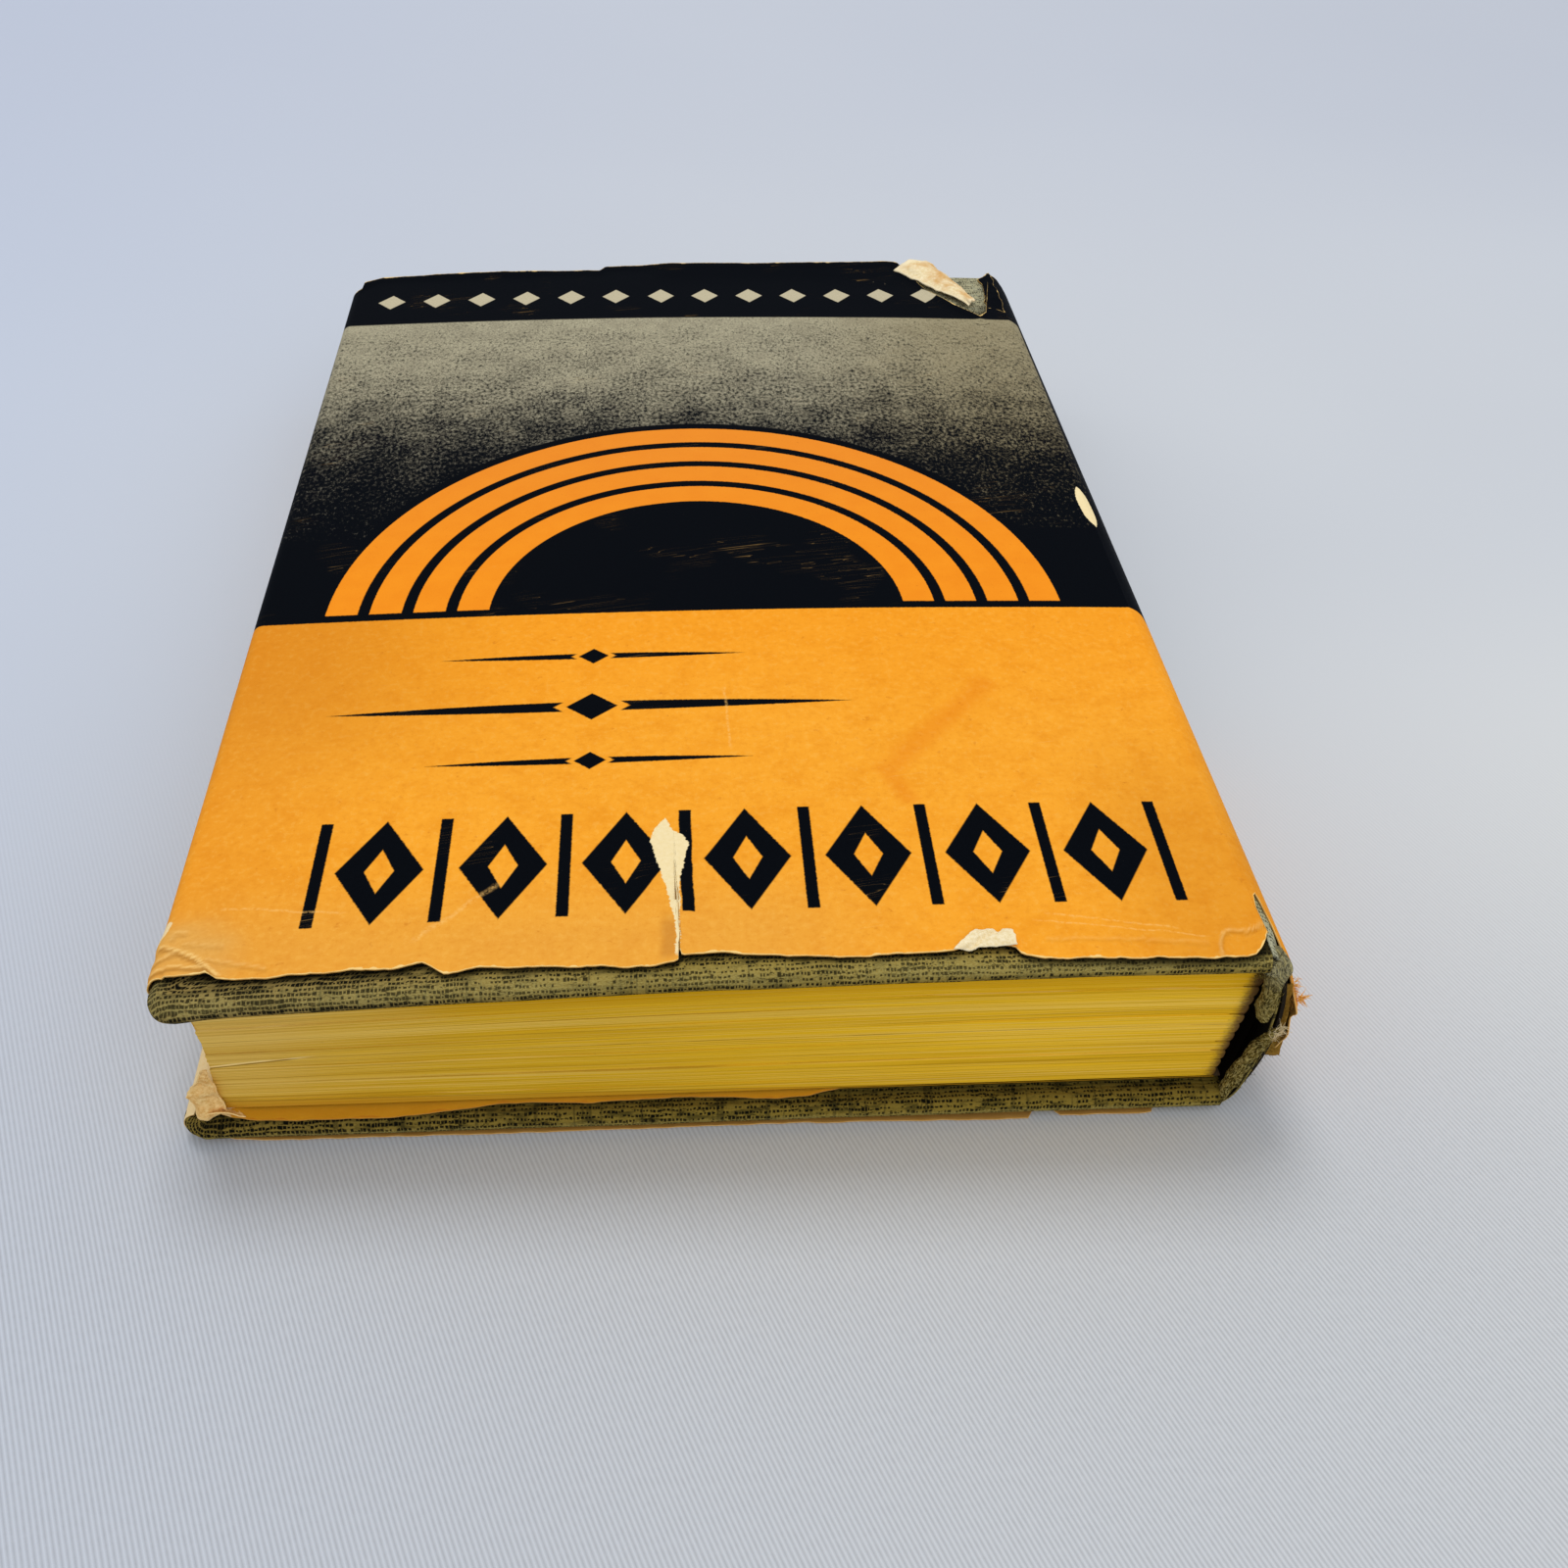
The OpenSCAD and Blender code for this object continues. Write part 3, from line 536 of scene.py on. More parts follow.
def cloth_dashes(f, u, v, w, patches):
    """The black print as a mask, and the height of the rows."""
    sway = f.noise(f.join(u * 0.8, v * 0.8, w + 2.0), 0.9, 2.0)
    rows = v / row_pitch + f.noise(f.join(u * 0.25, v * 0.6, w), 0.7, 2.0) * 0.9 + sway * 0.9
    row = rows.floor()
    cells = u / dash_pitch + row * 0.37 + f.noise(f.join(u, row * 5.0, w), 0.5, 1.0) * 2.6
    chance = f.add("ShaderNodeTexWhiteNoise", None, {"Vector": f.join(cells.floor(), row, w)}, out="Value")
    dense = f.step(u, -20.0, -60.0)
    size = (chance - 0.5) * 0.22 - dense * 0.05
    from_row = abs(rows % 1.0 - 0.5)
    dash = f.step(abs(cells % 1.0 - 0.5) + size, 0.42, 0.28) * f.step(from_row + size, 0.36, 0.16)
    dash = dash * f.step(chance + (patches - 0.5) * 1.8 + dense * 0.2, 0.22, 0.30)
    scribble = f.noise(f.join(u * 1.1, v * 2.0, w + 7.0), 1.5, 3.0, 0.7)
    scribble = f.step(scribble, 0.56, 0.61) * f.step(patches, 0.44, 0.56)
    return dash.most(scribble * 0.85), f.step(from_row, 0.0, 0.5)


print("dashes in 10 mm:", round(10 / dash_pitch), "rows in 10 mm:", round(10 / row_pitch, 1))

# %% [markdown]
# ## Book cloth
# Under the dashes the cloth is olive, greyer at the fore-edge and yellower at the spine, with
# slubs and smudges. It is rubbed pale where the board's edge is round, and the same pale band is
# the edge's painted highlight. It is frayed where it is torn. Painted shade darkens it under the
# torn paper, under the pages, on the spine's inside and over the back cover. The rows follow the
# cloth round the edge, so the mesh carries the cloth's flat layout, with a third number that
# tells the two covers apart.

# %% Book cloth
front_layout, back_layout, spine_layout = 11, 23, 5
spine_u, cloth_t = 72, 0.4


def cloth_finish():
    f = Finish("khaki_cloth", roughness=0.9, specular=0.04)
    u, v, w = f.axes(f.mark("flat", "Vector"))
    rub_and_highlight, fray, bleach, inside = f.mark("wear"), f.mark("fray"), f.mark("bleach"), f.mark("side")
    slow = f.noise(f.join(u, v, w), 0.09, 3.0)
    patches = f.noise(f.join(u * 0.5, v * 1.4, w + 4.0), 0.45, 2.0)
    black, row_height = cloth_dashes(f, u, v, w, patches)
    smudge = f.step(f.noise(f.join(u * 0.4, v * 1.1, w), 0.8, 3.0), 0.46, 0.66)
    slub = f.step(f.noise(f.join(u * 2.2, v * 0.10, w), 0.8, 1.0), 0.58, 0.70)
    grain = f.noise(f.join(u, v * 2.0, 2.0), 3.0, 2.0, 0.6)
    threads = f.noise(f.join(u * 1.0, v * 2.2, w), 2.3, 4.0, 0.75)
    pale_corner = f.step(v, 70.0, 84.0) * f.step(u, 44.0, 54.0)

    base = f.mix(slow, paint(120, 98, 42), paint(152, 128, 58))
    base = f.wash(base, [
        (f.step(u, 0.0, -60.0) * 0.6, (120, 98, 66)),
        # Painted shade: the back cover's cloth darker
        (f.step(w, 15.0, 20.0) * 0.60, (116, 94, 18)),
        (grain * 0.40, (168, 152, 78)),
        (slub * 0.52, (44, 40, 22)),
        (smudge * (1.0 - rub_and_highlight) * 0.66, (36, 36, 18)),
        # Rubbed pale on the round edge: real wear, and the edge's painted highlight
        (rub_and_highlight * f.step(grain, 0.30, 0.62) * 0.80, (182, 170, 104)),
        ((bleach * 0.8).most(pale_corner * 0.6), (186, 186, 158)),
        (fray * f.step(threads, 0.51, 0.58) * 0.85, (198, 182, 116)),
        (fray * f.step(threads, 0.50, 0.43) * 0.90, (40, 34, 16))])
    colour = f.mix(black * (1.0 - rub_and_highlight * 0.35) * (1.0 - fray * 0.7), base, paint(9, 10, 6))

    # Painted shade under the torn paper, under the pages on the back cover, and on the inside of the
    # spine's cloth
    on_front = f.step(abs(w - front_layout), 2.0, 1.0)
    on_back = f.step(abs(w - back_layout), 2.0, 1.0)
    tear_stops = [(share * board_w, depth) for share, depth in head_tear if 0 <= share <= 1]
    tear = f.curve(u + half_w, tear_stops, 137.0, 0.0, 14.0)
    under_paper = f.step(v + half_h - tear, -1.5, 0.1) * on_front * f.step(v, 60.0, 40.0)
    under_pages = f.step(v + 100.0, -2.6, -5.4) * on_back
    colour = f.wash(colour, [
        (under_paper * 0.92, (10, 10, 6)),
        (under_pages * 0.5, (26, 24, 10)),
        (inside, (20, 17, 11))])
    height = grain * 0.6 - black * 0.4 + row_height * 0.4 + fray * threads * 3.0
    return f.finish(colour, normal=f.bump(height, 0.14, 0.9))


khaki = cloth_finish()
print("cloth finish nodes:", len(khaki.node_tree.nodes))

# %% [markdown]
# ## The plan of a cover
# Seen from above, a cover is a rectangle with small round corners at the fore-edge and a square
# end at the joint. The same loop, drawn in step by step, gives every row of the covered board.

# %% Plan of a cover
edge_r, corner_r = 1.5, 3.4


def plan_loop(inset):
    """The outline moved inward, and its outward directions."""
    left, half = -half_w + inset, half_h - inset
    c = max(corner_r - inset, 0.3)
    x = np.linspace(cover_end_x, left + c, 110)
    y = np.linspace(-half + c, half - c, 150)
    a = np.linspace(0, pi / 2, 12)[1:-1]
    head = np.stack([x, np.full_like(x, -half)], 1)
    turn = np.stack([left + c - c * np.sin(a), -half + c - c * np.cos(a)], 1)
    fore = np.stack([np.full_like(y, left), y], 1)
    back = np.stack([left + c - c * np.cos(a), half - c + c * np.sin(a)], 1)
    tail = np.stack([x[::-1], np.full_like(x, half)], 1)
    normal = np.concatenate([
        np.tile([0, -1], (len(head), 1)), np.stack([-np.sin(a), -np.cos(a)], 1),
        np.tile([-1, 0], (len(fore), 1)), np.stack([-np.cos(a), np.sin(a)], 1),
        np.tile([0, 1], (len(tail), 1))]).astype(float)
    return np.concatenate([head, turn, fore, back, tail]), normal


def edge_rows():
    """Rows from the outer face over the round edge to the end of the turned-in cloth. Each has
    its inset, its depth below the face and the cloth's length past the start of the edge."""
    face = [(inset, 0.0, edge_r - inset) for inset in (22.0, 10.0, 5.0, 2.6)]
    angles = np.linspace(0, pi / 2, 9)
    over = [(edge_r * (1 - sin(a)), edge_r * (1 - cos(a)), edge_r * a) for a in angles]
    under = [(inset, cover_t - depth, pi * edge_r - s) for inset, depth, s in over[-2::-1]]
    turned_in = [(inset, cover_t, pi * edge_r + inset - edge_r) for inset in (2.6, 5, 9, 15)]
    return face + over + under + turned_in


print("rows of a covered board:", len(edge_rows()))

# %% [markdown]
# ## Cloth over a board
# The cloth swells a little where it is folded over the edge, most of all at one crushed corner.
# The pasted paper inside hides the end of the turned-in cloth.

# %% Covered boards
def covered_board(name, outer, inner, flip, seed):
    """outer(x) and inner(x) are the heights of the cover's two faces."""
    crushed_x, crushed_y = -66, -101
    grid, flat, wear = [], [], []
    base, normal = plan_loop(edge_r)
    for inset, depth, s in edge_rows():
        x, y = plan_loop(inset)[0].T
        z = outer(x) * (1 - depth / cover_t) + inner(x) * depth / cover_t
        if depth in (0.0, cover_t):
            side = 1 if depth == 0.0 else -1
            z = z + side * flip * 0.05 * rough(x, y, 9, seed)
        swell = 0.12 * rough(x * 0.6, y * 0.6 + depth * 3, 5, seed + 9, 3) * fade(inset, 1.2, 3)
        crushed = fade(np.hypot(x - crushed_x, y - crushed_y), 1.5, 8) * (depth > 1.2)
        swell = swell + 0.55 * crushed * (0.5 + 0.5 * rough(x, y + depth * 2, 3, seed + 4))
        drop = flip * 0.25 * np.maximum(swell, 0) * (depth > 2)
        grid.append(np.stack([x + normal[:, 0] * swell, y + normal[:, 1] * swell, z - drop], 1))
        flat.append(np.column_stack([base + normal * s, 0 * x + seed]))
        # The rubbed band on the round edge also stands for the edge's painted highlight
        round_edge_rub_and_highlight = fade(abs(depth - 0.75), 0.25, 1.3) * (inset < 2)
        wear.append(round_edge_rub_and_highlight * (0.6 + 0.4 * rough(x, y, 12, seed + 2)))
    m, n = len(grid), len(base)
    face = list(range(n))
    faces = grid_faces(m, n, 0, flip > 0) + [face if flip > 0 else face[::-1]]
    return build(name, np.concatenate(grid), faces, khaki,
                 {"flat": np.concatenate(flat), "wear": np.concatenate(wear)})


front_case = covered_board("front_case", lambda x: bow(x, cloth_inner_r + cover_t),
                           lambda x: bow(x, cloth_inner_r), 1, front_layout)
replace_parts(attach(front_case, "front_cover"), "front_cloth")
back_outer_z, back_inner_z = 0.3, 3.5
back_case = covered_board("back_case", lambda x: 0 * x + back_outer_z, lambda x: 0 * x + back_inner_z,
                          -1, back_layout)
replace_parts(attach(back_case, "back_cover"), "back_cloth")
print("covered boards:", len(front_case.data.polygons), "faces each")

# %% [markdown]
# ## The spine's cloth
# The cloth runs round the hollow spine as a thin shell. Near the head it has sagged towards the
# pages, because its torn edge no longer holds it out.

# %% Spine cloth
def spine_shell():
    path = spine_line(0, 0, 0.7)
    run = run_along(path)
    ys = np.concatenate([np.linspace(-100.6, -94, 14), np.linspace(-92, 94, 48), np.linspace(96, 100.2, 8)])
    grid = np.stack([np.stack([np.full(len(ys), x), ys, np.full(len(ys), z)], 1) for x, z in path])
    normal, inside = grid_normals(grid), np.array([60.0, 0, 15.0])
    if np.einsum("ijk,ijk->", normal, grid - inside) < 0:
        normal = -normal
    grid = grid + normal * (0.05 * rough(grid[..., 1], run[:, None], 6, 31))[..., None]
    sag = fade(ys + half_h, 1.5, 9)[None] * (np.sin(pi * np.clip(run / run[-1], 0, 1)) ** 0.7)[:, None]
    grid[..., 0] -= 1.7 * sag
    y = grid[..., 1]
    flat = np.stack([spine_u + np.broadcast_to(run[:, None], y.shape), y, 0 * y + spine_layout], 2)
    wear = 0.55 + 0.3 * rough(y, run[:, None], 9, 8)
    bleach = fade(y + half_h, 3, 16) * fade(run, 2, 7)[:, None]
    return sheet_piece("spine_case", grid, normal, cloth_t, khaki,
                       {"flat": flat, "wear": wear, "bleach": bleach})


spine_case = spine_shell()
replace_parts(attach(spine_case, "pages"), "spine_cloth")
print("spine cloth:", len(spine_case.data.polygons), "faces")

# %% [markdown]
# ## Rolled caps
# At head and tail the spine's cloth is rolled in to a cord. At the head the roll has torn in two:
# the upper part hangs from the front joint, and the lower part has sprung outward to a frayed tip.
# Each roll is a lumpy tube round a line in the book's section.

# %% Rolled caps
def roll(name, line, radii, seed, y_line, wear_level=0.6, fray=0.0, bleach=0.0):
    """A thick rolled edge of cloth that follows line in x and z, at y_line."""
    n, m = len(line), 28
    a = np.linspace(0, 2 * pi, m, endpoint=False)[None]
    out_x, out_z = left_of(line).T[:, :, None]
    run = run_along(line)[:, None]
    radii, y_line = radii[:, None], y_line[:, None]
    lump = 1 + (0.16 + 0.16 * fray) * rough(run + 0 * a, np.cos(a) * 2.2 + np.sin(a), 1.5, seed, 4)
    lump = lump + 0.10 * np.sin(a * 2 + run * 0.9) + 0.05 * np.sin(a * 5 - run * 1.7)
    r = radii * lump
    points = np.stack([line[:, :1] + out_x * r * 0.85 * np.cos(a),
                       y_line + r * np.sin(a),
                       line[:, 1:] + out_z * r * 0.85 * np.cos(a)], 2)
    flat = np.stack([spine_u + run + 0 * a, -half_h + a * radii, 0 * r + spine_layout], 2)
    i, j = [k.ravel() for k in np.meshgrid(np.arange(n - 1), np.arange(m), indexing="ij")]
    k = (j + 1) % m
    faces = np.stack([i * m + j, i * m + k, (i + 1) * m + k, (i + 1) * m + j], 1).tolist()
    faces += [list(range(m))[::-1], [(n - 1) * m + j for j in range(m)]]
    wear = wear_level + 0.3 * rough(flat[..., 0], flat[..., 1], 3, seed)
    pale = bleach * fade(run, 1.5, 5.5) + 0 * wear
    return build(name, points.reshape(-1, 3), faces, khaki,
                 {"flat": flat.reshape(-1, 3), "wear": wear.ravel(), "fray": 0 * wear.ravel() + fray,
                  "bleach": pale.ravel()})


def along(stops, count):
    """A smooth line through a few stops (x, z, radius, y)."""
    stops = np.array(stops, float)
    t = run_along(stops[:, :2])
    f = np.linspace(0, t[-1], count)
    line = np.stack([np.interp(f, t, stops[:, k]) for k in range(4)], 1)
    for _ in range(6):
        line[1:-1] = (line[:-2] + 2 * line[1:-1] + line[2:]) / 4
    return line


upper = along([(70.3, 29.1, 1.7, -99.6), (71.2, 27.6, 1.9, -99.9), (71.1, 25.6, 1.40, -100.3),
               (71.4, 23.6, 1.35, -100.3), (71.5, 21.4, 1.40, -100.2), (71.6, 19.6, 1.25, -100.1),
               (71.7, 17.6, 0.9, -99.9)], 70)
lower = along([(74.2, 16.8, 0.25, -100.9), (73.3, 15.2, 0.6, -100.9), (72.3, 12.9, 1.0, -100.7),
               (71.5, 10.4, 1.05, -100.6), (70.9, 7.6, 1.05, -100.5), (70.3, 4.6, 1.0, -100.4),
               (69.8, 2.4, 0.9, -100.4), (69.5, 1.2, 0.75, -100.4)], 80)
section = spine_line(0.9, 0, 0.5)
cap_upper = roll("cap_upper", upper[:, :2], upper[:, 2], 41, upper[:, 3], 0.2, 0.85, 0.6)
cap_lower = roll("cap_lower", lower[:, :2], lower[:, 2], 43, lower[:, 3], -0.1, 1.0)
cap_tail = roll("cap_tail", section - np.array([0.3, 0]), np.full(len(section), 1.1), 47,
                np.full(len(section), 100.2))
for piece in (cap_upper, cap_lower, cap_tail):
    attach(piece, "pages")
print("rolled caps:", [len(p.data.polygons) for p in (cap_upper, cap_lower, cap_tail)], "faces")

# %% [markdown]
# ## Leaves as lines
# Hundreds of leaves show as fine lines along the head. Noise that is stretched along the edge
# gives them: three widths of line, at different heights. The same bench then stains the paper
# yellow at the head, palest towards the fore-edge. Painted shade deepens the top leaves under the
# cover and darkens the folds at the sewn end.

# %% Page edge finish
def page_finish():
    f = Finish("page_edges", roughness=0.9, specular=0.03)
    x, t, y = f.axes(f.mark("leaf", "Vector"))
    stain = f.mark("stain")
    s = t + f.noise(f.join(x * 0.05, t * 3.0, 4.0), 1.0, 2.0) * 0.010
    fine = f.noise(f.join(x * 0.010, s * 120.0, y * 0.02), 1.0, 3.0, 0.75)
    thick = f.noise(f.join(x * 0.006, s * 46.0, y * 0.02 + 5.0), 1.0, 3.0, 0.7)
    band = f.noise(f.join(x * 0.004, s * 9.0, 9.0), 1.0, 1.0)
    patchy = f.noise(f.join(x * 0.06, s * 2.2, y * 0.05), 1.0, 3.0)
    fibre = f.noise(f.join(x * 1.6, s * 60.0, y), 1.0, 2.0)

    cream = f.mix(patchy, paint(214, 192, 140), paint(226, 208, 160))
    near_head = f.mix(patchy, paint(210, 162, 22), paint(224, 178, 44))
    towards_fore = f.step(x + patchy * 30.0 - t * 26.0, -74.0, -24.0)
    ochre = f.mix(towards_fore, paint(220, 178, 84), near_head)
    ochre = f.mix(f.step(x, -50.0, 60.0) * 0.7, ochre, paint(252, 200, 40))
    # Painted shade: the top leaves, under the front cover, turn a deeper ochre
    deep = f.step(t + patchy * 0.06, 0.84, 0.94) * f.step(x + t * 10.0, -40.0, -20.0)
    colour = f.mix(stain, cream, ochre)
    colour = f.wash(colour, [
        (f.step(band, 0.50, 0.62) * 0.26 * stain, (196, 146, 14)),
        (f.step(band, 0.46, 0.34) * 0.30, (236, 200, 104)),
        (f.step(thick, 0.58, 0.66) * 0.30, (156, 112, 14)),
        (f.step(thick, 0.42, 0.34) * 0.22, (246, 214, 126)),
        (f.step(fine, 0.54, 0.60) * 0.42, (136, 94, 16)),
        (f.step(fine, 0.46, 0.40) * 0.34, (250, 220, 132)),
        (deep * stain * 0.62, (202, 148, 0)),
        (f.step(fibre, 0.72, 0.78) * 0.30, (142, 92, 20))])
    seam = f.step(abs(s - 0.503), 0.004, 0.0005) * f.step(patchy, 0.35, 0.6)
    colour = f.mix(seam * 0.65, colour, paint(110, 76, 16))

    # One leaf is creased near the fore-edge: a painted highlight line with a painted shadow line below it
    lifted = s - (x + 60.7) * 0.0058 - 0.458
    here = f.step(x, -49.0, -53.0) * f.step(y, -98.0, -98.6)
    colour = f.mix(f.step(abs(lifted - 0.006), 0.010, 0.004) * here * 0.75, colour, paint(250, 222, 150))
    colour = f.mix(f.step(abs(lifted + 0.010), 0.008, 0.003) * here * 0.75, colour, paint(126, 88, 28))

    # The lowest leaves are deeper at the fore-edge, with a sharp upper edge
    climb = t + (x + 63.0) * 0.00075
    low = f.step(climb, 0.078, 0.070) * stain
    colour = f.mix(low * 0.75, colour, f.mix(patchy, paint(186, 134, 22), paint(206, 152, 36)))
    colour = f.mix(f.step(abs(climb - 0.076), 0.006, 0.002) * stain * 0.5, colour, paint(130, 90, 20))
    # Painted shade over the folds at the sewn end, beside the dark hollow
    sewn_end_shade = f.step(x + fibre * 1.2 - t * 1.6, 67.4, 69.4)
    colour = f.mix(sewn_end_shade * 0.9, colour, paint(70, 46, 40))
    return f.finish(colour, normal=f.bump(fine * 0.7 + thick * 0.5 + fibre * 0.2, 0.12, 0.7))


aged_pages = page_finish()
print("page finish nodes:", len(aged_pages.node_tree.nodes))

# %% [markdown]
# ## Gatherings
# Leaves are sewn in gatherings, so the block's edges step in and out a little from one to the
# next, and the sewn end shows a round fold for each with a slit between. The rows of the grid
# crowd at the gatherings' limits to keep those steps crisp.

# %% Rows of leaves
gatherings, block_z, block_h = 12, 4.40, 22.0
head_y, tail_y, block_x = -98.9, 98.9, -63.3
places = np.concatenate([[0.0, 0.025], np.linspace(0.06, 0.94, 9), [0.975, 1.0]])
row_g, row_p = np.repeat(np.arange(gatherings), len(places)), np.tile(places, gatherings)
row_t = (row_g + row_p) / gatherings
first_row, last_row = row_p == 0.0, row_p == 1.0
in_slit = first_row & (row_g > 0) | last_row & (row_g < gatherings - 1)
fore_x = block_x + 0.8 * (1 - (2 * row_t - 1) ** 2)
pitch = block_h / gatherings
rounded = 70.5 - pitch / 2 + np.sqrt(np.maximum((pitch / 2) ** 2 - ((row_p - 0.5) * pitch) ** 2, 0))
sewn_x = np.where(in_slit, 68.2, 0.45 * rounded + 0.55 * 70.3)
head_slant = (row_t - 0.5) * 2.4 - 0.6
print("rows of leaves:", len(row_t))

# %% [markdown]
# ## The block of pages
# The block is six grids: head, tail, fore-edge, sewn end, top and underside. The underside and
# the top lie under the endpapers, so they are plain.

# %% Pages
def leaf_height(x):
    """Height of every row at x: the leaves lie flat below and follow the bow above."""
    return block_z + (bow(x, page_r) - block_z) * row_t[None]


def page_end_patch(at_head):
    """The head or the tail, where the gatherings step in and out."""
    s = np.concatenate([np.linspace(0, 0.03, 5), np.linspace(0.045, 0.955, 110), np.linspace(0.965, 1, 10)])
    left = fore_x + 0.10 * rough(row_t * 60, 0, 1, 3) - 0.25
    right = sewn_x + head_slant * at_head
    x = left[None] + (right - left)[None] * s[:, None]
    sag = 0.10 * rough(x * 0.03, row_t[None] * 30, 1, 77)
    out = 0.16 * waves(row_g[None] * 3.3 + 0 * x, x * 0.02, 1, 5)
    out = out + 0.05 * rough(x * 0.05, row_t[None] * 90, 1, 6)
    limit = np.round(row_g + row_p).astype(int)
    seam = np.where(row_g + row_p == gatherings / 2, 0.35, 0.03 + 0.12 * speck(limit, 3, 9))
    out = out - seam[None] * (first_row | last_row)[None]
    y = head_y - out if at_head else tail_y + out
    return np.stack([x, y, leaf_height(x) + sag * 0.3], 2), np.full(x.shape, 1.0 if at_head else 0.25)


def page_side_patch(at_fore_edge):
    """The fore-edge or the sewn end, stained only near the head."""
    ys = np.concatenate([np.linspace(head_y, head_y + 3, 6), np.linspace(head_y + 6, tail_y - 6, 60),
                         np.linspace(tail_y - 3, tail_y, 6)])[:, None]
    near_head = fade(ys - head_y, 2, 12)
    if at_fore_edge:
        x = fore_x[None] + 0.12 * rough(ys * 0.04, row_t[None] * 60, 1, 8) - 0.15
    else:
        x = sewn_x[None] + near_head * head_slant[None]
    return np.stack([x, ys + 0 * x, leaf_height(x)], 2), 0.25 + 0.75 * (near_head + 0 * x) ** 2


def page_cap(on_top):
    x, y = np.meshgrid(np.linspace(block_x, 69.6, 60), np.linspace(head_y, tail_y, 60), indexing="ij")
    return np.stack([x, y, bow(x, page_r) if on_top else 0 * x + block_z], 2), 0 * x + 0.2


def page_block_piece():
    points, faces, leaf, stain, start = [], [], [], [], 0
    middle = np.array([3.0, 0, 15.0])
    sides = [(page_end_patch, True), (page_end_patch, False), (page_side_patch, True),
             (page_side_patch, False), (page_cap, True), (page_cap, False)]
    for patch, which in sides:
        grid, ochre_share = patch(which)
        height_share = float(which) if patch is page_cap else row_t[None]
        x, y = grid[..., 0], grid[..., 1]
        flip = np.einsum("ijk,ijk->", grid_normals(grid), grid - middle) < 0
        faces += grid_faces(*x.shape, start, flip)
        points.append(grid.reshape(-1, 3))
        leaf.append(np.stack([x, 0 * x + height_share, y], 2).reshape(-1, 3))
        stain.append(ochre_share.ravel())
        start += x.size
    return build("page_block", np.concatenate(points), faces, aged_pages,
                 {"leaf": np.concatenate(leaf), "stain": np.concatenate(stain)})


page_block = page_block_piece()
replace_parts(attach(page_block, "pages"), "text_block")
print("page block:", len(page_block.data.polygons), "faces")

# %% [markdown]
# ## A bench for the print
# The jacket is one finish. Each printed shape is an inequality on the flat sheet's coordinates, so
# it stays sharp at any distance and wraps round the folds with the paper. The print sits a little
# askew on the sheet, and its edges bleed. One bench keeps those coordinates and the shared noises.

# %% Bench for the print
class PrintedPaper(Finish):
    """u0 and v0 are places on the sheet, u and v are places in the print."""

    def __init__(self):
        super().__init__("printed_paper", roughness=0.6, specular=0.008)
        self.flat = self.mark("flat", "Vector")
        self.u0, self.v0, _ = self.axes(self.flat)
        skew, shift_u, shift_v = 0.01047, 0.95, 0.70
        bleed = self.noise(self.flat, 2.4, 2.0) * 0.22 - 0.11
        self.u = self.u0 - self.v0 * skew + shift_u + bleed
        self.v = self.v0 + self.u0 * skew - shift_v + bleed
        self.fine = self.noise(self.flat, 1.7, 4.0, 0.65)
        self.mid = self.noise(self.flat, 0.22, 4.0, 0.6)
        self.tooth = self.noise(self.flat, 2.8, 3.0, 0.65)

    def soft(self, value, width=0.10):
        """1 where value is above zero, with an edge as soft as printed ink."""
        return self.step(value, -width, width)

    def stroke(self, a, b, width):
        """A thin scratch from a to b."""
        dx, dy = b[0] - a[0], b[1] - a[1]
        length = hypot(dx, dy)
        dx, dy = dx / length, dy / length
        along = (self.u0 - a[0]) * dx + (self.v0 - a[1]) * dy
        sideways = (self.v0 - a[1]) * dx - (self.u0 - a[0]) * dy
        across = abs(sideways + (self.mid - 0.5) * 1.2)
        return self.soft(width - across, width) * self.soft(along, 1.0) * self.soft(length - along, 1.0)

    def from_repeat(self, value, start, pitch):
        """Distance from the nearest of the places that repeat at this pitch."""
        return pitch / 2 - abs((value - start) % pitch - pitch / 2)

    def lozenge(self, across, along, half_across, half_along, crisp):
        return self.soft((1.0 - across / half_across - along / half_along) * crisp)


printed_bench = PrintedPaper()
print("nodes for the sheet's coordinates:", len(printed_bench.tree.nodes))

# %% [markdown]
# ## Orange paper
# Noises of several sizes mottle the paper, from slow changes of tone down to its felt and foxing.
# It is deeper near the dark field and paler at the head. Painted shade darkens it towards the
# fore-edge, and towards the spine near the head.

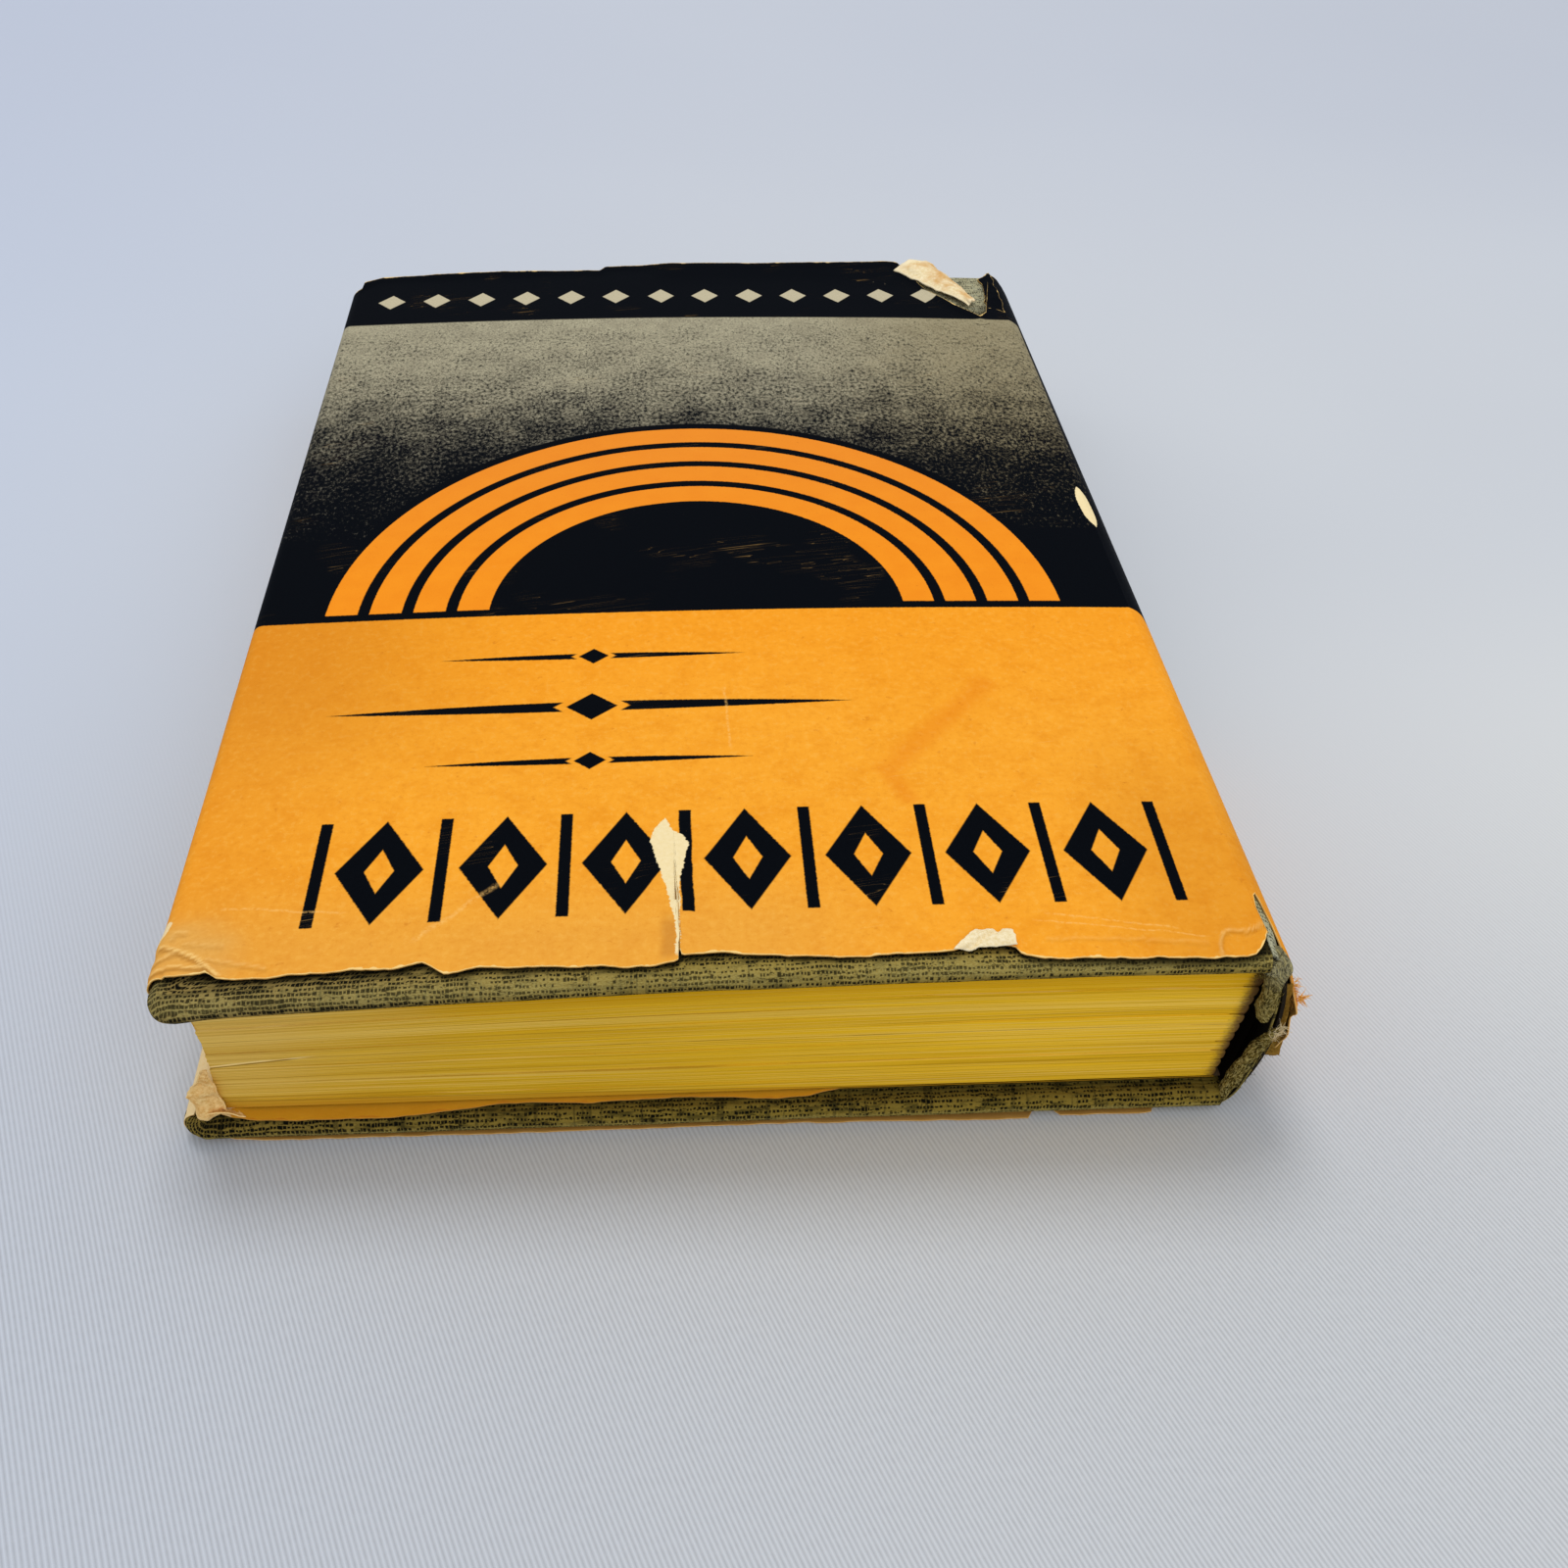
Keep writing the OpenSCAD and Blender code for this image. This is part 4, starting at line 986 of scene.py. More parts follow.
# %% Orange paper
def orange_paper(p):
    slow, felt = p.noise(p.flat, 0.028, 3.0), p.noise(p.flat, 0.95, 3.0, 0.65)
    foxing = p.step(p.noise(p.flat, 0.55, 3.0, 0.7), 0.63, 0.74)
    stain = p.stroke((111.0, 57.0), (92.5, 36.0), 1.6).most(p.stroke((93.0, 37.0), (96.0, 30.0), 1.2))
    # Painted shade: darker towards the fore-edge and towards the spine near the head
    fore_edge_shade = p.step(p.u0, 48.0, 12.0) * p.step(p.v0, 30.0, 62.0)
    spine_side_shade = p.step(p.u0, 112.0, 130.0) * p.step(p.v0, 55.0, 20.0)
    orange = p.mix(slow, paint(242, 157, 38), paint(250, 170, 50))
    orange = p.wash(orange, [
        (p.step(p.mid, 0.40, 0.72) * 0.50, (232, 142, 26)),
        (p.step(p.v0, 40.0, 78.0) * 0.45, (244, 148, 22)),
        # Painted shade: darker towards the fore-edge
        (p.step(p.u0, 30.0, 0.0) * 0.36, (216, 130, 36))])
    pale_head = p.step(p.v0, 24.0, 6.0) * p.step(p.u0, 100.0, 70.0)
    orange = p.wash(orange, [
        (pale_head * 0.45, (222, 162, 72)),
        (p.step(felt, 0.52, 0.66) * 0.20, (250, 190, 88)),
        (p.step(felt, 0.48, 0.34) * 0.20, (212, 126, 26)),
        (p.step(p.fine, 0.58, 0.76) * 0.30, (252, 196, 92)),
        (p.step(p.fine, 0.42, 0.26) * 0.26, (214, 124, 22)),
        (foxing * 0.40, (196, 110, 24)),
        (stain * 0.35, (226, 118, 10))])
    return p.mix(fore_edge_shade.most(spine_side_shade) * 0.30, orange, paint(186, 112, 30))


orange = orange_paper(printed_bench)
print("nodes with the orange paper:", len(printed_bench.tree.nodes))

# %% [markdown]
# ## The dark field
# The field is near black. A pale ground shows in it as stipple: a fine noise makes the dots, and
# broader ones say how close they stand. Four nested half rings rise from the field's edge, and a
# row of pale lozenges runs along the tail band.

# %% Dark field
field_edge = 76.3


def near_black(p):
    worn = p.step(p.noise(p.flat, 1.2, 3.0, 0.7), 0.72, 0.80)
    return p.mix(worn * 0.35, p.mix(p.fine, paint(3, 5, 9), paint(10, 13, 18)), paint(96, 92, 84))


def stippled_ground(p):
    """The pale ground's colour, and the dots through which it shows."""
    clouds = p.noise(p.flat, 0.12, 4.0, 0.65)
    light = p.step(p.v, 92.0, 172.0) + (clouds - 0.5) * 0.75 + (p.mid - 0.5) * 0.35
    light = light + p.step(p.v, 172.0, 181.0) * 0.22
    grain = p.noise(p.join(p.u0, p.v0 * 0.7), 1.5, 4.0, 0.75)
    dots = p.step(grain + light * 0.30 - 0.69, -0.12, 0.16)
    ground = p.mix(p.step(light, 0.25, 1.05), paint(100, 96, 84), paint(172, 164, 136))
    ground = p.wash(ground, [
        (p.step(p.mid, 0.42, 0.62) * 0.30, (116, 108, 90)),
        (p.step(p.tooth, 0.44, 0.62) * 0.45, (80, 73, 60)),
        (p.step(p.tooth, 0.44, 0.30) * 0.45, (206, 198, 168))])
    return p.mix(p.step(p.u0, 84.0, 130.0) * 0.45, ground, paint(132, 116, 76)), dots


def dark_field(p, black):
    u, v, soft = p.u, p.v, p.soft
    ring = ((u - 68.6) * (u - 68.6) + (v - field_edge) * (v - field_edge)).root()
    ground, dots = stippled_ground(p)
    ground_mask = soft(v - 100.0) * soft(181.0 - v, 0.25) * soft(ring - 59.8) * soft(139.0 - u)
    field = p.mix(ground_mask * dots, black, ground)

    nested = (58.0 - ring) % 6.8
    arches = soft(5.0 - nested) * soft(nested) * soft(58.0 - ring) * soft(ring - 32.6) * soft(v - 78.1)
    ember = p.mix(p.mid, paint(248, 152, 34), paint(236, 134, 26))
    ember = p.mix(p.step(v, 84.0, 134.0) * 0.5, ember, paint(226, 132, 48))
    ember = p.mix(p.step(p.fine, 0.60, 0.76) * 0.4, ember, paint(180, 96, 28))
    field = p.mix(arches, field, ember)

    beside = p.from_repeat(u, 63.6, 9.346)
    gems = p.lozenge(beside, abs(v - 191.5), 2.8, 3.25, 2.0) * soft(60.8 - abs(u - 63.6))
    return p.mix(gems * 0.92, field, p.mix(p.tooth, paint(176, 164, 132), paint(214, 202, 170)))


black = near_black(printed_bench)
field = dark_field(printed_bench, black)
print("nodes with the dark field:", len(printed_bench.tree.nodes))

# %% [markdown]
# ## Ornament on the orange
# A frieze of open lozenges between bars crosses the head of the cover. Three rules stand below it,
# and each swells to a lozenge in its middle.

# %% Ornament
def frieze(p):
    pitch = 15.814
    across, tall, from_middle = p.from_repeat(p.u, 73.6, pitch), abs(p.v - 20.5), abs(p.u - 73.6)
    outer = p.lozenge(across, tall, 5.69, 9.5, 4.0)
    hole = p.lozenge(across, tall, 1.9, 3.99, 1.6)
    bars = p.soft(across - pitch / 2 + 0.8) * p.soft(9.5 - tall) * p.soft(56.2 - from_middle)
    return (outer * (1.0 - hole) * p.soft(55.3 - from_middle)).most(bars)


def swelled_rule(p, middle, length, thick):
    across, d = abs(p.u - 52.6), abs(p.v - middle)
    s = across / (length / 2)
    line = p.soft((1.0 - s * s) * (thick / 2) - d) * p.soft(1.0 - s, 0.01)
    gap = p.lozenge(across, d, 2.5 * thick, 2.0 * thick, thick)
    drop = p.lozenge(across, d, 1.7 * thick, 1.4 * thick, thick)
    return (line * (1.0 - gap)).most(drop)


def ornament(p):
    rules = swelled_rule(p, 53.0, 76.0, 2.2).most(swelled_rule(p, 65.1, 45.6, 1.32))
    rules = rules.most(swelled_rule(p, 40.9, 45.6, 1.32))
    worn_ink = p.step(p.noise(p.flat, 0.9, 4.0, 0.7), 0.72, 0.80)
    return frieze(p).most(rules) * (1.0 - worn_ink * 0.5)


ink = ornament(printed_bench)
print("nodes with the ornament:", len(printed_bench.tree.nodes))

# %% [markdown]
# ## Wear on the print
# Scratches and hairlines are drawn on the sheet. At the peeled patch by the slit, and at a chip on
# the joint, the printed skin is gone. Two curves draw the sides of the patch.

# %% Scratches and bare places
def scratches(p):
    lines = [((6.3, 15.9), (21.7, 13.9), 0.16), ((110.2, 8.7), (125.9, 5.5), 0.14),
             ((108.7, 7.6), (129.5, 4.0), 0.12), ((71.6, 56.8), (71.8, 42.8), 0.16),
             ((41.0, 17.5), (31.0, 8.5), 0.30)]
    scratch = p.stroke(*lines[0])
    for line in lines[1:]:
        scratch = scratch.most(p.stroke(*line))
    hairline = p.noise(p.join(p.u0 * 0.05 + p.v0 * 0.02, p.v0 * 1.1 - p.u0 * 0.18), 0.9, 1.0)
    hairline = p.step(abs(hairline - 0.5), 0.004, 0.001) * p.step(p.noise(p.flat, 0.06, 2.0), 0.56, 0.64)
    scratch = scratch * p.step(p.fine, 0.35, 0.60)
    return (scratch * 0.45).most(hairline * 0.15)


def bare_places(p):
    """Masks of the peeled patch and of the chip."""
    u0, v0, soft = p.u0, p.v0, p.soft
    ragged = (p.fine - 0.5) * 0.9 + (p.mid - 0.5) * 0.8
    left = p.curve(v0, [(0, 63.2), (9.0, 63.0), (10.5, 62.9), (15.3, 62.2), (18.6, 61.6), (21.5, 60.9),
                        (24.3, 60.2), (26.6, 61.0), (28.6, 62.4), (40, 62.4)], 40.0, 56.0, 68.0)
    right = p.curve(v0, [(0, 63.4), (10.5, 63.6), (15.0, 64.0), (18.5, 64.3), (21.4, 64.9), (23.6, 65.3),
                         (25.2, 64.6), (26.2, 63.3), (28.6, 62.5), (40, 62.4)], 40.0, 56.0, 68.0)
    patch = soft(u0 - left + ragged, 0.08) * soft(right - u0 + ragged, 0.08)
    patch = patch * soft(v0 - 3.5, 0.5) * soft(28.6 - v0, 0.2)
    beside = abs(u0 - 137.2 + (v0 - 106.0) * 0.05) / 1.15
    chip = soft(1.0 - beside - (abs(v0 - 106.2) / 6.6) ** 3.0 + ragged * 0.3, 0.05)
    return patch, chip


scratched = scratches(printed_bench)
peeled, chipped = bare_places(printed_bench)
print("nodes with the wear:", len(printed_bench.tree.nodes))

# %% [markdown]
# ## The whole finish
# The layers go on in the order of their age: print, scratches, browning and creases, then the
# places where cream fibres show. Painted shade goes in among them: on the back flap under the
# pages, beside the creases and the slit, and on the crumpled corner's facets. The back of the paper
# is brown, darkened partly as painted shade.

# %% Jacket finish
def jacket_finish(p):
    fine, mid, u0, v0 = p.fine, p.mid, p.u0, p.v0
    edge, wear, side = p.mark("edge"), p.mark("wear"), p.mark("side")
    crease, shade, tan, aged = p.mark("crease"), p.mark("shade"), p.mark("tan"), p.mark("aged")
    on_panel = p.soft(u0 + 3.0, 0.3)
    near_head = p.mix(on_panel, orange, p.mix(ink, orange, black))
    colour = p.mix(p.soft(p.v - field_edge) * on_panel, near_head, field)
    colour = p.mix(scratched, colour, paint(250, 196, 112))
    # Painted shade: the back flap under the pages turns a deeper ochre
    colour = p.mix(aged * 0.8, colour, p.mix(mid, paint(200, 144, 20), paint(214, 158, 38)))
    # Browning at the crumpled corner, with its facets painted lighter and darker as light and shade
    colour = p.mix(tan * 0.75, colour, p.mix(fine, paint(204, 148, 66), paint(236, 186, 104)))
    colour = p.mix(shade * 0.70, colour, paint(150, 92, 26))
    colour = p.mix(crease * p.step(fine, 0.30, 0.60, 0.45, 1.0), colour, paint(252, 212, 134))

    # Torn edges and rubbed creases, bare like the patch and the chip
    uneven = p.noise(p.flat, 0.35, 2.0)
    torn = p.step(edge + (fine - 0.5) * 0.5 - p.step(uneven, 0.54, 0.70) * 0.30, 0.20, 0.04)
    torn = torn * p.step(uneven, 0.25, 0.6, 0.45, 0.95)
    rubbed = p.step(wear + (fine - 0.5) * 0.7 + (mid - 0.5) * 0.5, 0.50, 0.74)
    cream = p.mix(fine, paint(232, 206, 144), paint(248, 230, 186))
    # On the shaded flap the torn rim is darker too, as painted shade
    rim = p.mix(aged, p.mix(fine, paint(240, 190, 96), paint(250, 222, 156)), paint(204, 136, 38))
    colour = p.mix(torn, colour, rim)
    colour = p.mix((rubbed * 0.85).most(peeled).most(chipped), colour, cream)
    bare_mask = torn.most(rubbed * 0.85).most(peeled).most(chipped)
    # Painted shade: brown beside the slit, where its left side curls
    slit_shade = p.step(abs(u0 - 62.3), 1.6, 0.3) * p.step(v0, 12.0, 8.0) * p.step(v0, 2.0, 4.0)
    colour = p.mix(slit_shade * (1.0 - bare_mask) * 0.40, colour, paint(176, 106, 44))
    # The paper's back: brown, darkened partly as painted shade for the spine strip's inside
    back = p.mix(mid, paint(158, 112, 46), paint(196, 150, 80))
    colour = p.mix(p.step(side, 0.2, 0.6), colour, back)
    height = fine * 0.35 + mid * 0.6 + bare_mask * -0.5
    gloss = p.step(fine, 0.2, 0.8, 0.50, 0.64)
    return p.finish(colour, gloss, p.bump(height, 0.06, 0.6))


printed = jacket_finish(printed_bench)
print("jacket finish nodes:", len(printed.node_tree.nodes))

# %% [markdown]
# ## Sheets with torn edges
# Each column of a sheet's grid reads where its head and tail end, and the rows crowd together at
# both torn edges, where the raggedness is fine. The grid then takes its x and z from a path in the
# book's section.

# %% Torn edges
def spread_rows(span):
    """Depths of the rows: crowded at both torn edges, wide in the middle."""
    near = np.concatenate([[0, 0.06, 0.15, 0.28, 0.45, 0.7, 1.0], np.arange(1.35, 17, 0.42),
                           [17.6, 18.6, 20, 22, 24.5, 27.5]])
    far = span - np.array([28, 24, 20, 17, 14.5, 12, 10, 8, 6, 4.5, 3.3, 2.3, 1.5, 0.9, 0.5, 0.25, 0.1, 0])
    return np.concatenate([near, np.linspace(27.5, span - 28, 24)[1:-1], far])


def spread(head_depth, tail_depth):
    """Depth for each column and row, and the distance from the nearest torn edge."""
    usual_head, reach = 3.5, 32
    nominal = spread_rows(jacket_tail - usual_head)
    pull = fade(nominal, 0, reach)
    push = fade(nominal[-1] - nominal, 0, reach)
    depth = usual_head + nominal[None] + (head_depth - usual_head)[:, None] * pull[None]
    depth = depth + (tail_depth - jacket_tail)[:, None] * push[None]
    edge = np.minimum(depth - head_depth[:, None], tail_depth[:, None] - depth)
    return depth, edge


def depth_at(stops, place):
    return np.interp(place, stops[:, 0], stops[:, 1])


def in_section(pairs, y):
    """A grid with the path's x and z in every row, and y as given."""
    return np.stack([pairs[:, :1] + 0 * y, y, pairs[:, 1:] + 0 * y], 2)


print("rows of a jacket sheet:", len(spread_rows(jacket_tail - 3.5)))

# %% [markdown]
# ## Creases
# Crumpled paper is flat facets between sharp folds: a few saw-tooth waves at chance angles, added
# up. Single creases are drawn as lines on the sheet, and each point measures its distance.

# %% Creases
def crumple(x, y, seed, pitch, count=5):
    """A height from 0 to 1, and the distance from the nearest fold in millimetres."""
    rng = np.random.default_rng(seed)
    height, near = 0, 99
    for k in range(count):
        turn, shift, p = rng.uniform(0, pi), rng.uniform(), pitch * rng.uniform(0.7, 1.7)
        s = (x * cos(turn) + y * sin(turn)) / p + shift + 0.10 * waves(x, y, 4, seed + k)
        saw = np.abs(s - np.round(s)) * 2
        height = height + saw / count
        near = np.minimum(near, np.minimum(saw, 1 - saw) * p / 2)
    return height, near


def line_gap(x, y, stops):
    """Distance from a line drawn through stops."""
    gap = 99.0
    for (ax, ay), (bx, by) in zip(stops, stops[1:]):
        t = ((x - ax) * (bx - ax) + (y - ay) * (by - ay)) / ((bx - ax) ** 2 + (by - ay) ** 2)
        t = np.clip(t, 0, 1)
        gap = np.minimum(gap, np.hypot(x - ax - t * (bx - ax), y - ay - t * (by - ay)))
    return gap


# Each crease: its course (distance from the fore-edge, distance from the head), how pale it is
creases = [
    ([(0.5, 9.9), (5.2, 7.3), (7.5, 4.7), (8.3, 4.1)], 0.9),
    ([(1.6, 10.9), (1.7, 12.0), (3.1, 11.8)], 0.35),
    ([(0.0, 5.9), (3.2, 6.2), (6.6, 5.5), (7.8, 4.6)], 0.8),
    ([(3.2, 10.0), (7.8, 9.3)], 0.25),
    ([(6.3, 7.3), (13.7, 5.2)], 0.35),
    ([(-0.5, 7.2), (2.6, 8.6)], 0.6),
    ([(131.4, 4.2), (132.6, 4.9), (134.7, 4.7), (137.4, 6.0)], 0.5),
    ([(131.4, 4.2), (130.6, 2.4), (130.3, 0.4)], 0.45),
    ([(109.1, 4.5), (119.2, 4.1), (129.2, 2.9)], 0.2)]


def crease_marks(across, deep):
    """Lift, paleness and shade of the drawn creases."""
    lift, pale, shade = 0.0, 0.0, 0.0
    for course, strength in creases:
        near_u = across + 0.25 * rough(across, deep, 2, 67)
        gap = line_gap(near_u, deep + 0.2 * rough(deep, across, 2, 69), course)
        lift = lift + 0.22 * strength * fade(gap, 0.0, 1.2)
        uneven = 0.75 + 0.25 * rough(across, deep, 1.5, 77)
        pale = np.maximum(pale, strength * fade(gap, 0.04, 0.34) * uneven)
        under = line_gap(across, deep + 0.55, course)
        shade = np.maximum(shade, strength * fade(under, 0.05, 0.50))
    return lift, pale, shade * (1 - pale)


print("creases:", len(creases))

# %% [markdown]
# ## The jacket's course
# One sheet runs from the end of the front flap, round the fore-edge, over the cover and down the
# spine. Its columns stand close where the paper bends, and at the slit, which opens sharply.

# %% Course of the jacket
flap_end_x, slit_u, slit_depth, paper_t = 20.5, 63.42, 13.2, 0.2


def jacket_course():
    """The section's path, and each point's part: 0 flap, 1 fold, 2 panel, 3 spine."""
    fold_r = 2.0
    fold_a = -asin((half_w - 1.8 + 0.1) / page_r) - bow_tilt
    fold_x = bow_x + (jacket_r - fold_r) * sin(fold_a)
    fold_z = bow_z + (jacket_r - fold_r) * cos(fold_a)
    flap = bow_line(flap_end_x, fold_x + 0.2, jacket_r - 2 * fold_r, 6.0)
    bend = arc_line(fold_x, fold_z, fold_r, fold_a - pi, fold_a, 0.35)
    bend = bend[np.argsort(bend[:, 1])]
    slit_shares = [0.4680, 0.4686, 0.4690, 0.4695, 0.4700, 0.4708, 0.4715, 0.4722, 0.4735]
    x = np.sort(np.concatenate([
        np.arange(fold_x + 0.3, -50, 0.30), np.arange(-49.9, -4.5, 0.55),
        -half_w + board_w * np.array(slit_shares),
        np.arange(-3.4, 54, 0.55), np.arange(54, hinge_x, 0.30), [hinge_x]]))
    panel = np.stack([x, bow(x, jacket_r)], axis=1)
    spine = spine_line(-0.3, 1.5, 0.5)
    parts = [flap, bend, panel, spine]
    return np.concatenate(parts), np.repeat([0, 1, 2, 3], [len(part) for part in parts])


def jacket_ends(path, kind):
    """Depths of the torn head and tail for each point of the path."""
    share, run = (path[:, 0] + half_w) / board_w, run_along(path)
    head = depth_at(head_tear, share)
    tail = jacket_tail + depth_at(tail_tear, share)
    on_flap, bent, on_spine = kind == 0, kind == 1, kind == 3
    head[on_flap], tail[on_flap] = 5.4, jacket_tail - 9
    up = np.linspace(0, 1, bent.sum())
    head[bent], tail[bent] = 4.5 + 0.25 * np.sin(up * 9), jacket_tail - 9 + 3 * up
    head[on_spine] = depth_at(spine_tear, path[on_spine, 1] / front_hinge_z)
    tail[on_spine] = jacket_tail - 3
    in_slit = np.abs(share - 0.4698) < 0.0016
    head = head - 0.4 * (kind == 2) + np.where(in_slit, 0.0, 0.30) * rough(run, 0, 2.4, 51, 5)
    return head, tail + 0.22 * rough(run, 9, 2.6, 57, 5)


jacket_path, jacket_part = jacket_course()
print("points across the jacket:", np.bincount(jacket_part))

# %% [markdown]
# ## Relief of the jacket
# Torn edges lift in lips, creases stand up as pale ridges with a shaded side, and the corners are
# crumpled. Lifts are in millimetres outward. The same measures go to the shader as marks.

# %% Relief of the jacket
def jacket_relief(across, deep, edge, part):
    """Lift at every point of the grid, and the marks that go with it."""
    outside, on_panel = part >= 2, part == 2
    lip = fade(edge, 0.0, 3.0) * (0.28 + 0.34 * np.maximum(rough(across, deep * 0, 9, 61), 0))
    lift = 0.03 + 0.05 * rough(across, deep, 28, 63, 2) + lip * outside
    lift = lift + 0.30 * fade(np.abs(across - 62.6), 0.3, 2.2) * fade(deep, 5, 12) * (across < slit_u)
    raised, pale, shade = crease_marks(across, deep)
    lift = lift + raised

    # The corner at the head of the fore-edge, browned and rubbed, with its crumpled facets painted lighter
    # and darker as painted light and shade
    facet, _ = crumple(across, deep, 71, 6.0, 3)
    corner = fade(np.hypot((across - 3.0) * 0.95, deep - 7.5), 4, 9)
    lift = lift + corner * 0.35 * facet
    tan = corner * (0.4 + 0.6 * facet)
    wear = 0.9 * fade(line_gap(across, deep, [(-0.6, 10.8), (0.1, 12.4), (0.3, 13.9)]), 0.2, 0.8)
    wear = wear + 0.7 * fade(np.abs(across + 1.3), 0.4, 1.6) * fade(deep, 9, 12)

    # The corners at the joint, and the paper raised along the tail
    facet, _ = crumple(across, deep, 76, 4.6, 3)
    heel = fade(np.hypot(across - 135.0, deep - 3.5), 2.5, 6.5) * outside
    lift = lift + heel * 0.45 * facet
    facet, fold = crumple(across * 0.7, deep, 79, 11.0, 3)
    far_corner = fade(np.hypot(across - 118, deep - 199), 6, 22) * on_panel
    lift = lift + far_corner * 0.45 * facet
    wear = wear + far_corner * 0.42 * fade(fold, 0.1, 0.4)
    raised = fade(np.abs(across - 92), 24, 32) * fade(jacket_tail + 1.5 - deep, 2, 9)
    lift = lift + 0.5 * raised * on_panel

    # Rubbed fold and joint
    wear = wear + 0.30 * (part == 1) * (0.5 + 0.5 * rough(deep, deep, 9, 83))
    at_joint = fade(np.abs(across - 137.0), 0.3, 1.6) * outside
    wear = wear + 0.30 * at_joint * fade(np.abs(rough(deep, 0, 16, 89)), 0.1, 0.5)
    return lift, {"wear": np.clip(wear, 0, 2), "crease": pale, "shade": shade, "tan": tan}


def jacket_sheet(path, kind):
    depth, edge = spread(*jacket_ends(path, kind))
    y, part = depth - half_h, kind[:, None]
    run, panel_u = run_along(path), path[:, 0] + half_w
    first = np.argmax(kind == 2)
    across = panel_u[:, None] + 0 * y
    edge = np.where(depth < slit_depth, np.minimum(edge, np.abs(across - slit_u) + 0.14), edge)
    lift, marks = jacket_relief(across, depth, edge, part)
    turned_in = np.interp(path[:, 1] / front_hinge_z, [0.1, 0.5, 0.9, 0.98], [0.5, 0.7, 0.45, 0.0])
    lift = np.where(part >= 1, np.maximum(lift, 0.0), 0.02)
    lift = np.where(part == 3, lift * 0.3 - turned_in[:, None] * fade(edge, 0, 2.0), lift)
    outward = in_section(left_of(path), 0 * y)
    grid = in_section(path, y) + outward * lift[..., None]
    waver = 0.42 * rough(depth, 0 * depth, 3.4, 73, 3)
    grid[..., 0] += waver * fade(np.abs(across - slit_u), 1.0, 5.0) * (part == 2)
    normal = grid_normals(grid)
    normal = np.where((np.einsum("ijk,ijk->ij", normal, outward) < 0)[..., None], -normal, normal)
    flat_u = run - run[first] + panel_u[first]
    flat = np.stack([flat_u[:, None] + 0 * y, depth, 0 * y], 2)
    return sheet_piece("jacket_sheet", grid, normal, paper_t, printed,
                       {"flat": flat, "edge": np.clip(edge, 0, 9), **marks})


jacket = jacket_sheet(jacket_path, jacket_part)
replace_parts(jacket, "jacket_front", "jacket_spine", "dark_field", "stipple_field", "arches", "frieze",
            "rules", "pale_row", "skinned_patch", "spine_dark_field")
print("jacket sheet:", len(jacket.data.polygons), "faces")

# %% [markdown]
# ## The back of the jacket
# The back panel lies flat under the book, folds up round the fore-edge and ends in its own flap.
# The camera sees the flap's torn head, the crushed fold and a thin line under the cover. At the
# other side the panel runs on across the joint to the spine.

# %% Back of the jacket
joint_bend_x = cover_end_x - 1.4
flap_tear = np.array([
    [-0.06, 4], [0.035, 2.4], [0.07, 1.1], [0.16, 0.5], [0.3, 0.6], [0.36, 1], [0.44, 1.9],
    [0.5, 2.2], [0.58, 1.8], [0.73, 2.3], [0.87, 1.6], [0.91, 1.8], [1, 3.4]])
under_tear = np.array([
    [-68, 1.6], [-61, 0.7], [-55, 0.3], [-20, 0.15], [10, 0.3], [30, -0.1], [43, -0.3],
    [44, 1.2], [46.5, 1.3], [47, 0.1], [60, -0.1], [61, 1.5], [70, 2.0]])


def back_course():
    """The section's path, and each point's part: 0 flap, 1 fold, 2 panel."""
    fold_r, fold_x = 1.975, -half_w + 1.675
    flap = np.stack([np.linspace(flap_end_x, fold_x, 180), np.full(180, 2 * fold_r)], 1)
    bend = arc_line(fold_x, fold_r, fold_r, 0, -pi, 0.35)[1:-1]
    across_joint = np.linspace(joint_bend_x, spine_start_x, 9)
    under_x = np.concatenate([np.linspace(fold_x, joint_bend_x, 150)[:-1], across_joint])
    parts = [flap, bend, np.stack([under_x, 0 * under_x], 1)]
    return np.concatenate(parts), np.repeat([0, 1, 2], [len(part) for part in parts])


def back_ends(path, kind):
    """Depths of the torn head and tail for each point of the path."""
    run, share = run_along(path), (path[:, 0] + half_w) / (half_w + flap_end_x)
    head = np.where(kind == 0, depth_at(flap_tear, share), depth_at(under_tear, path[:, 0]))
    head = np.where(kind == 1, 2.0, head) + 0.16 * rough(run, 0, 2.4, 101, 5)
    return head, jacket_tail - 2 + 0.2 * rough(run, 3, 2.4, 105, 4)


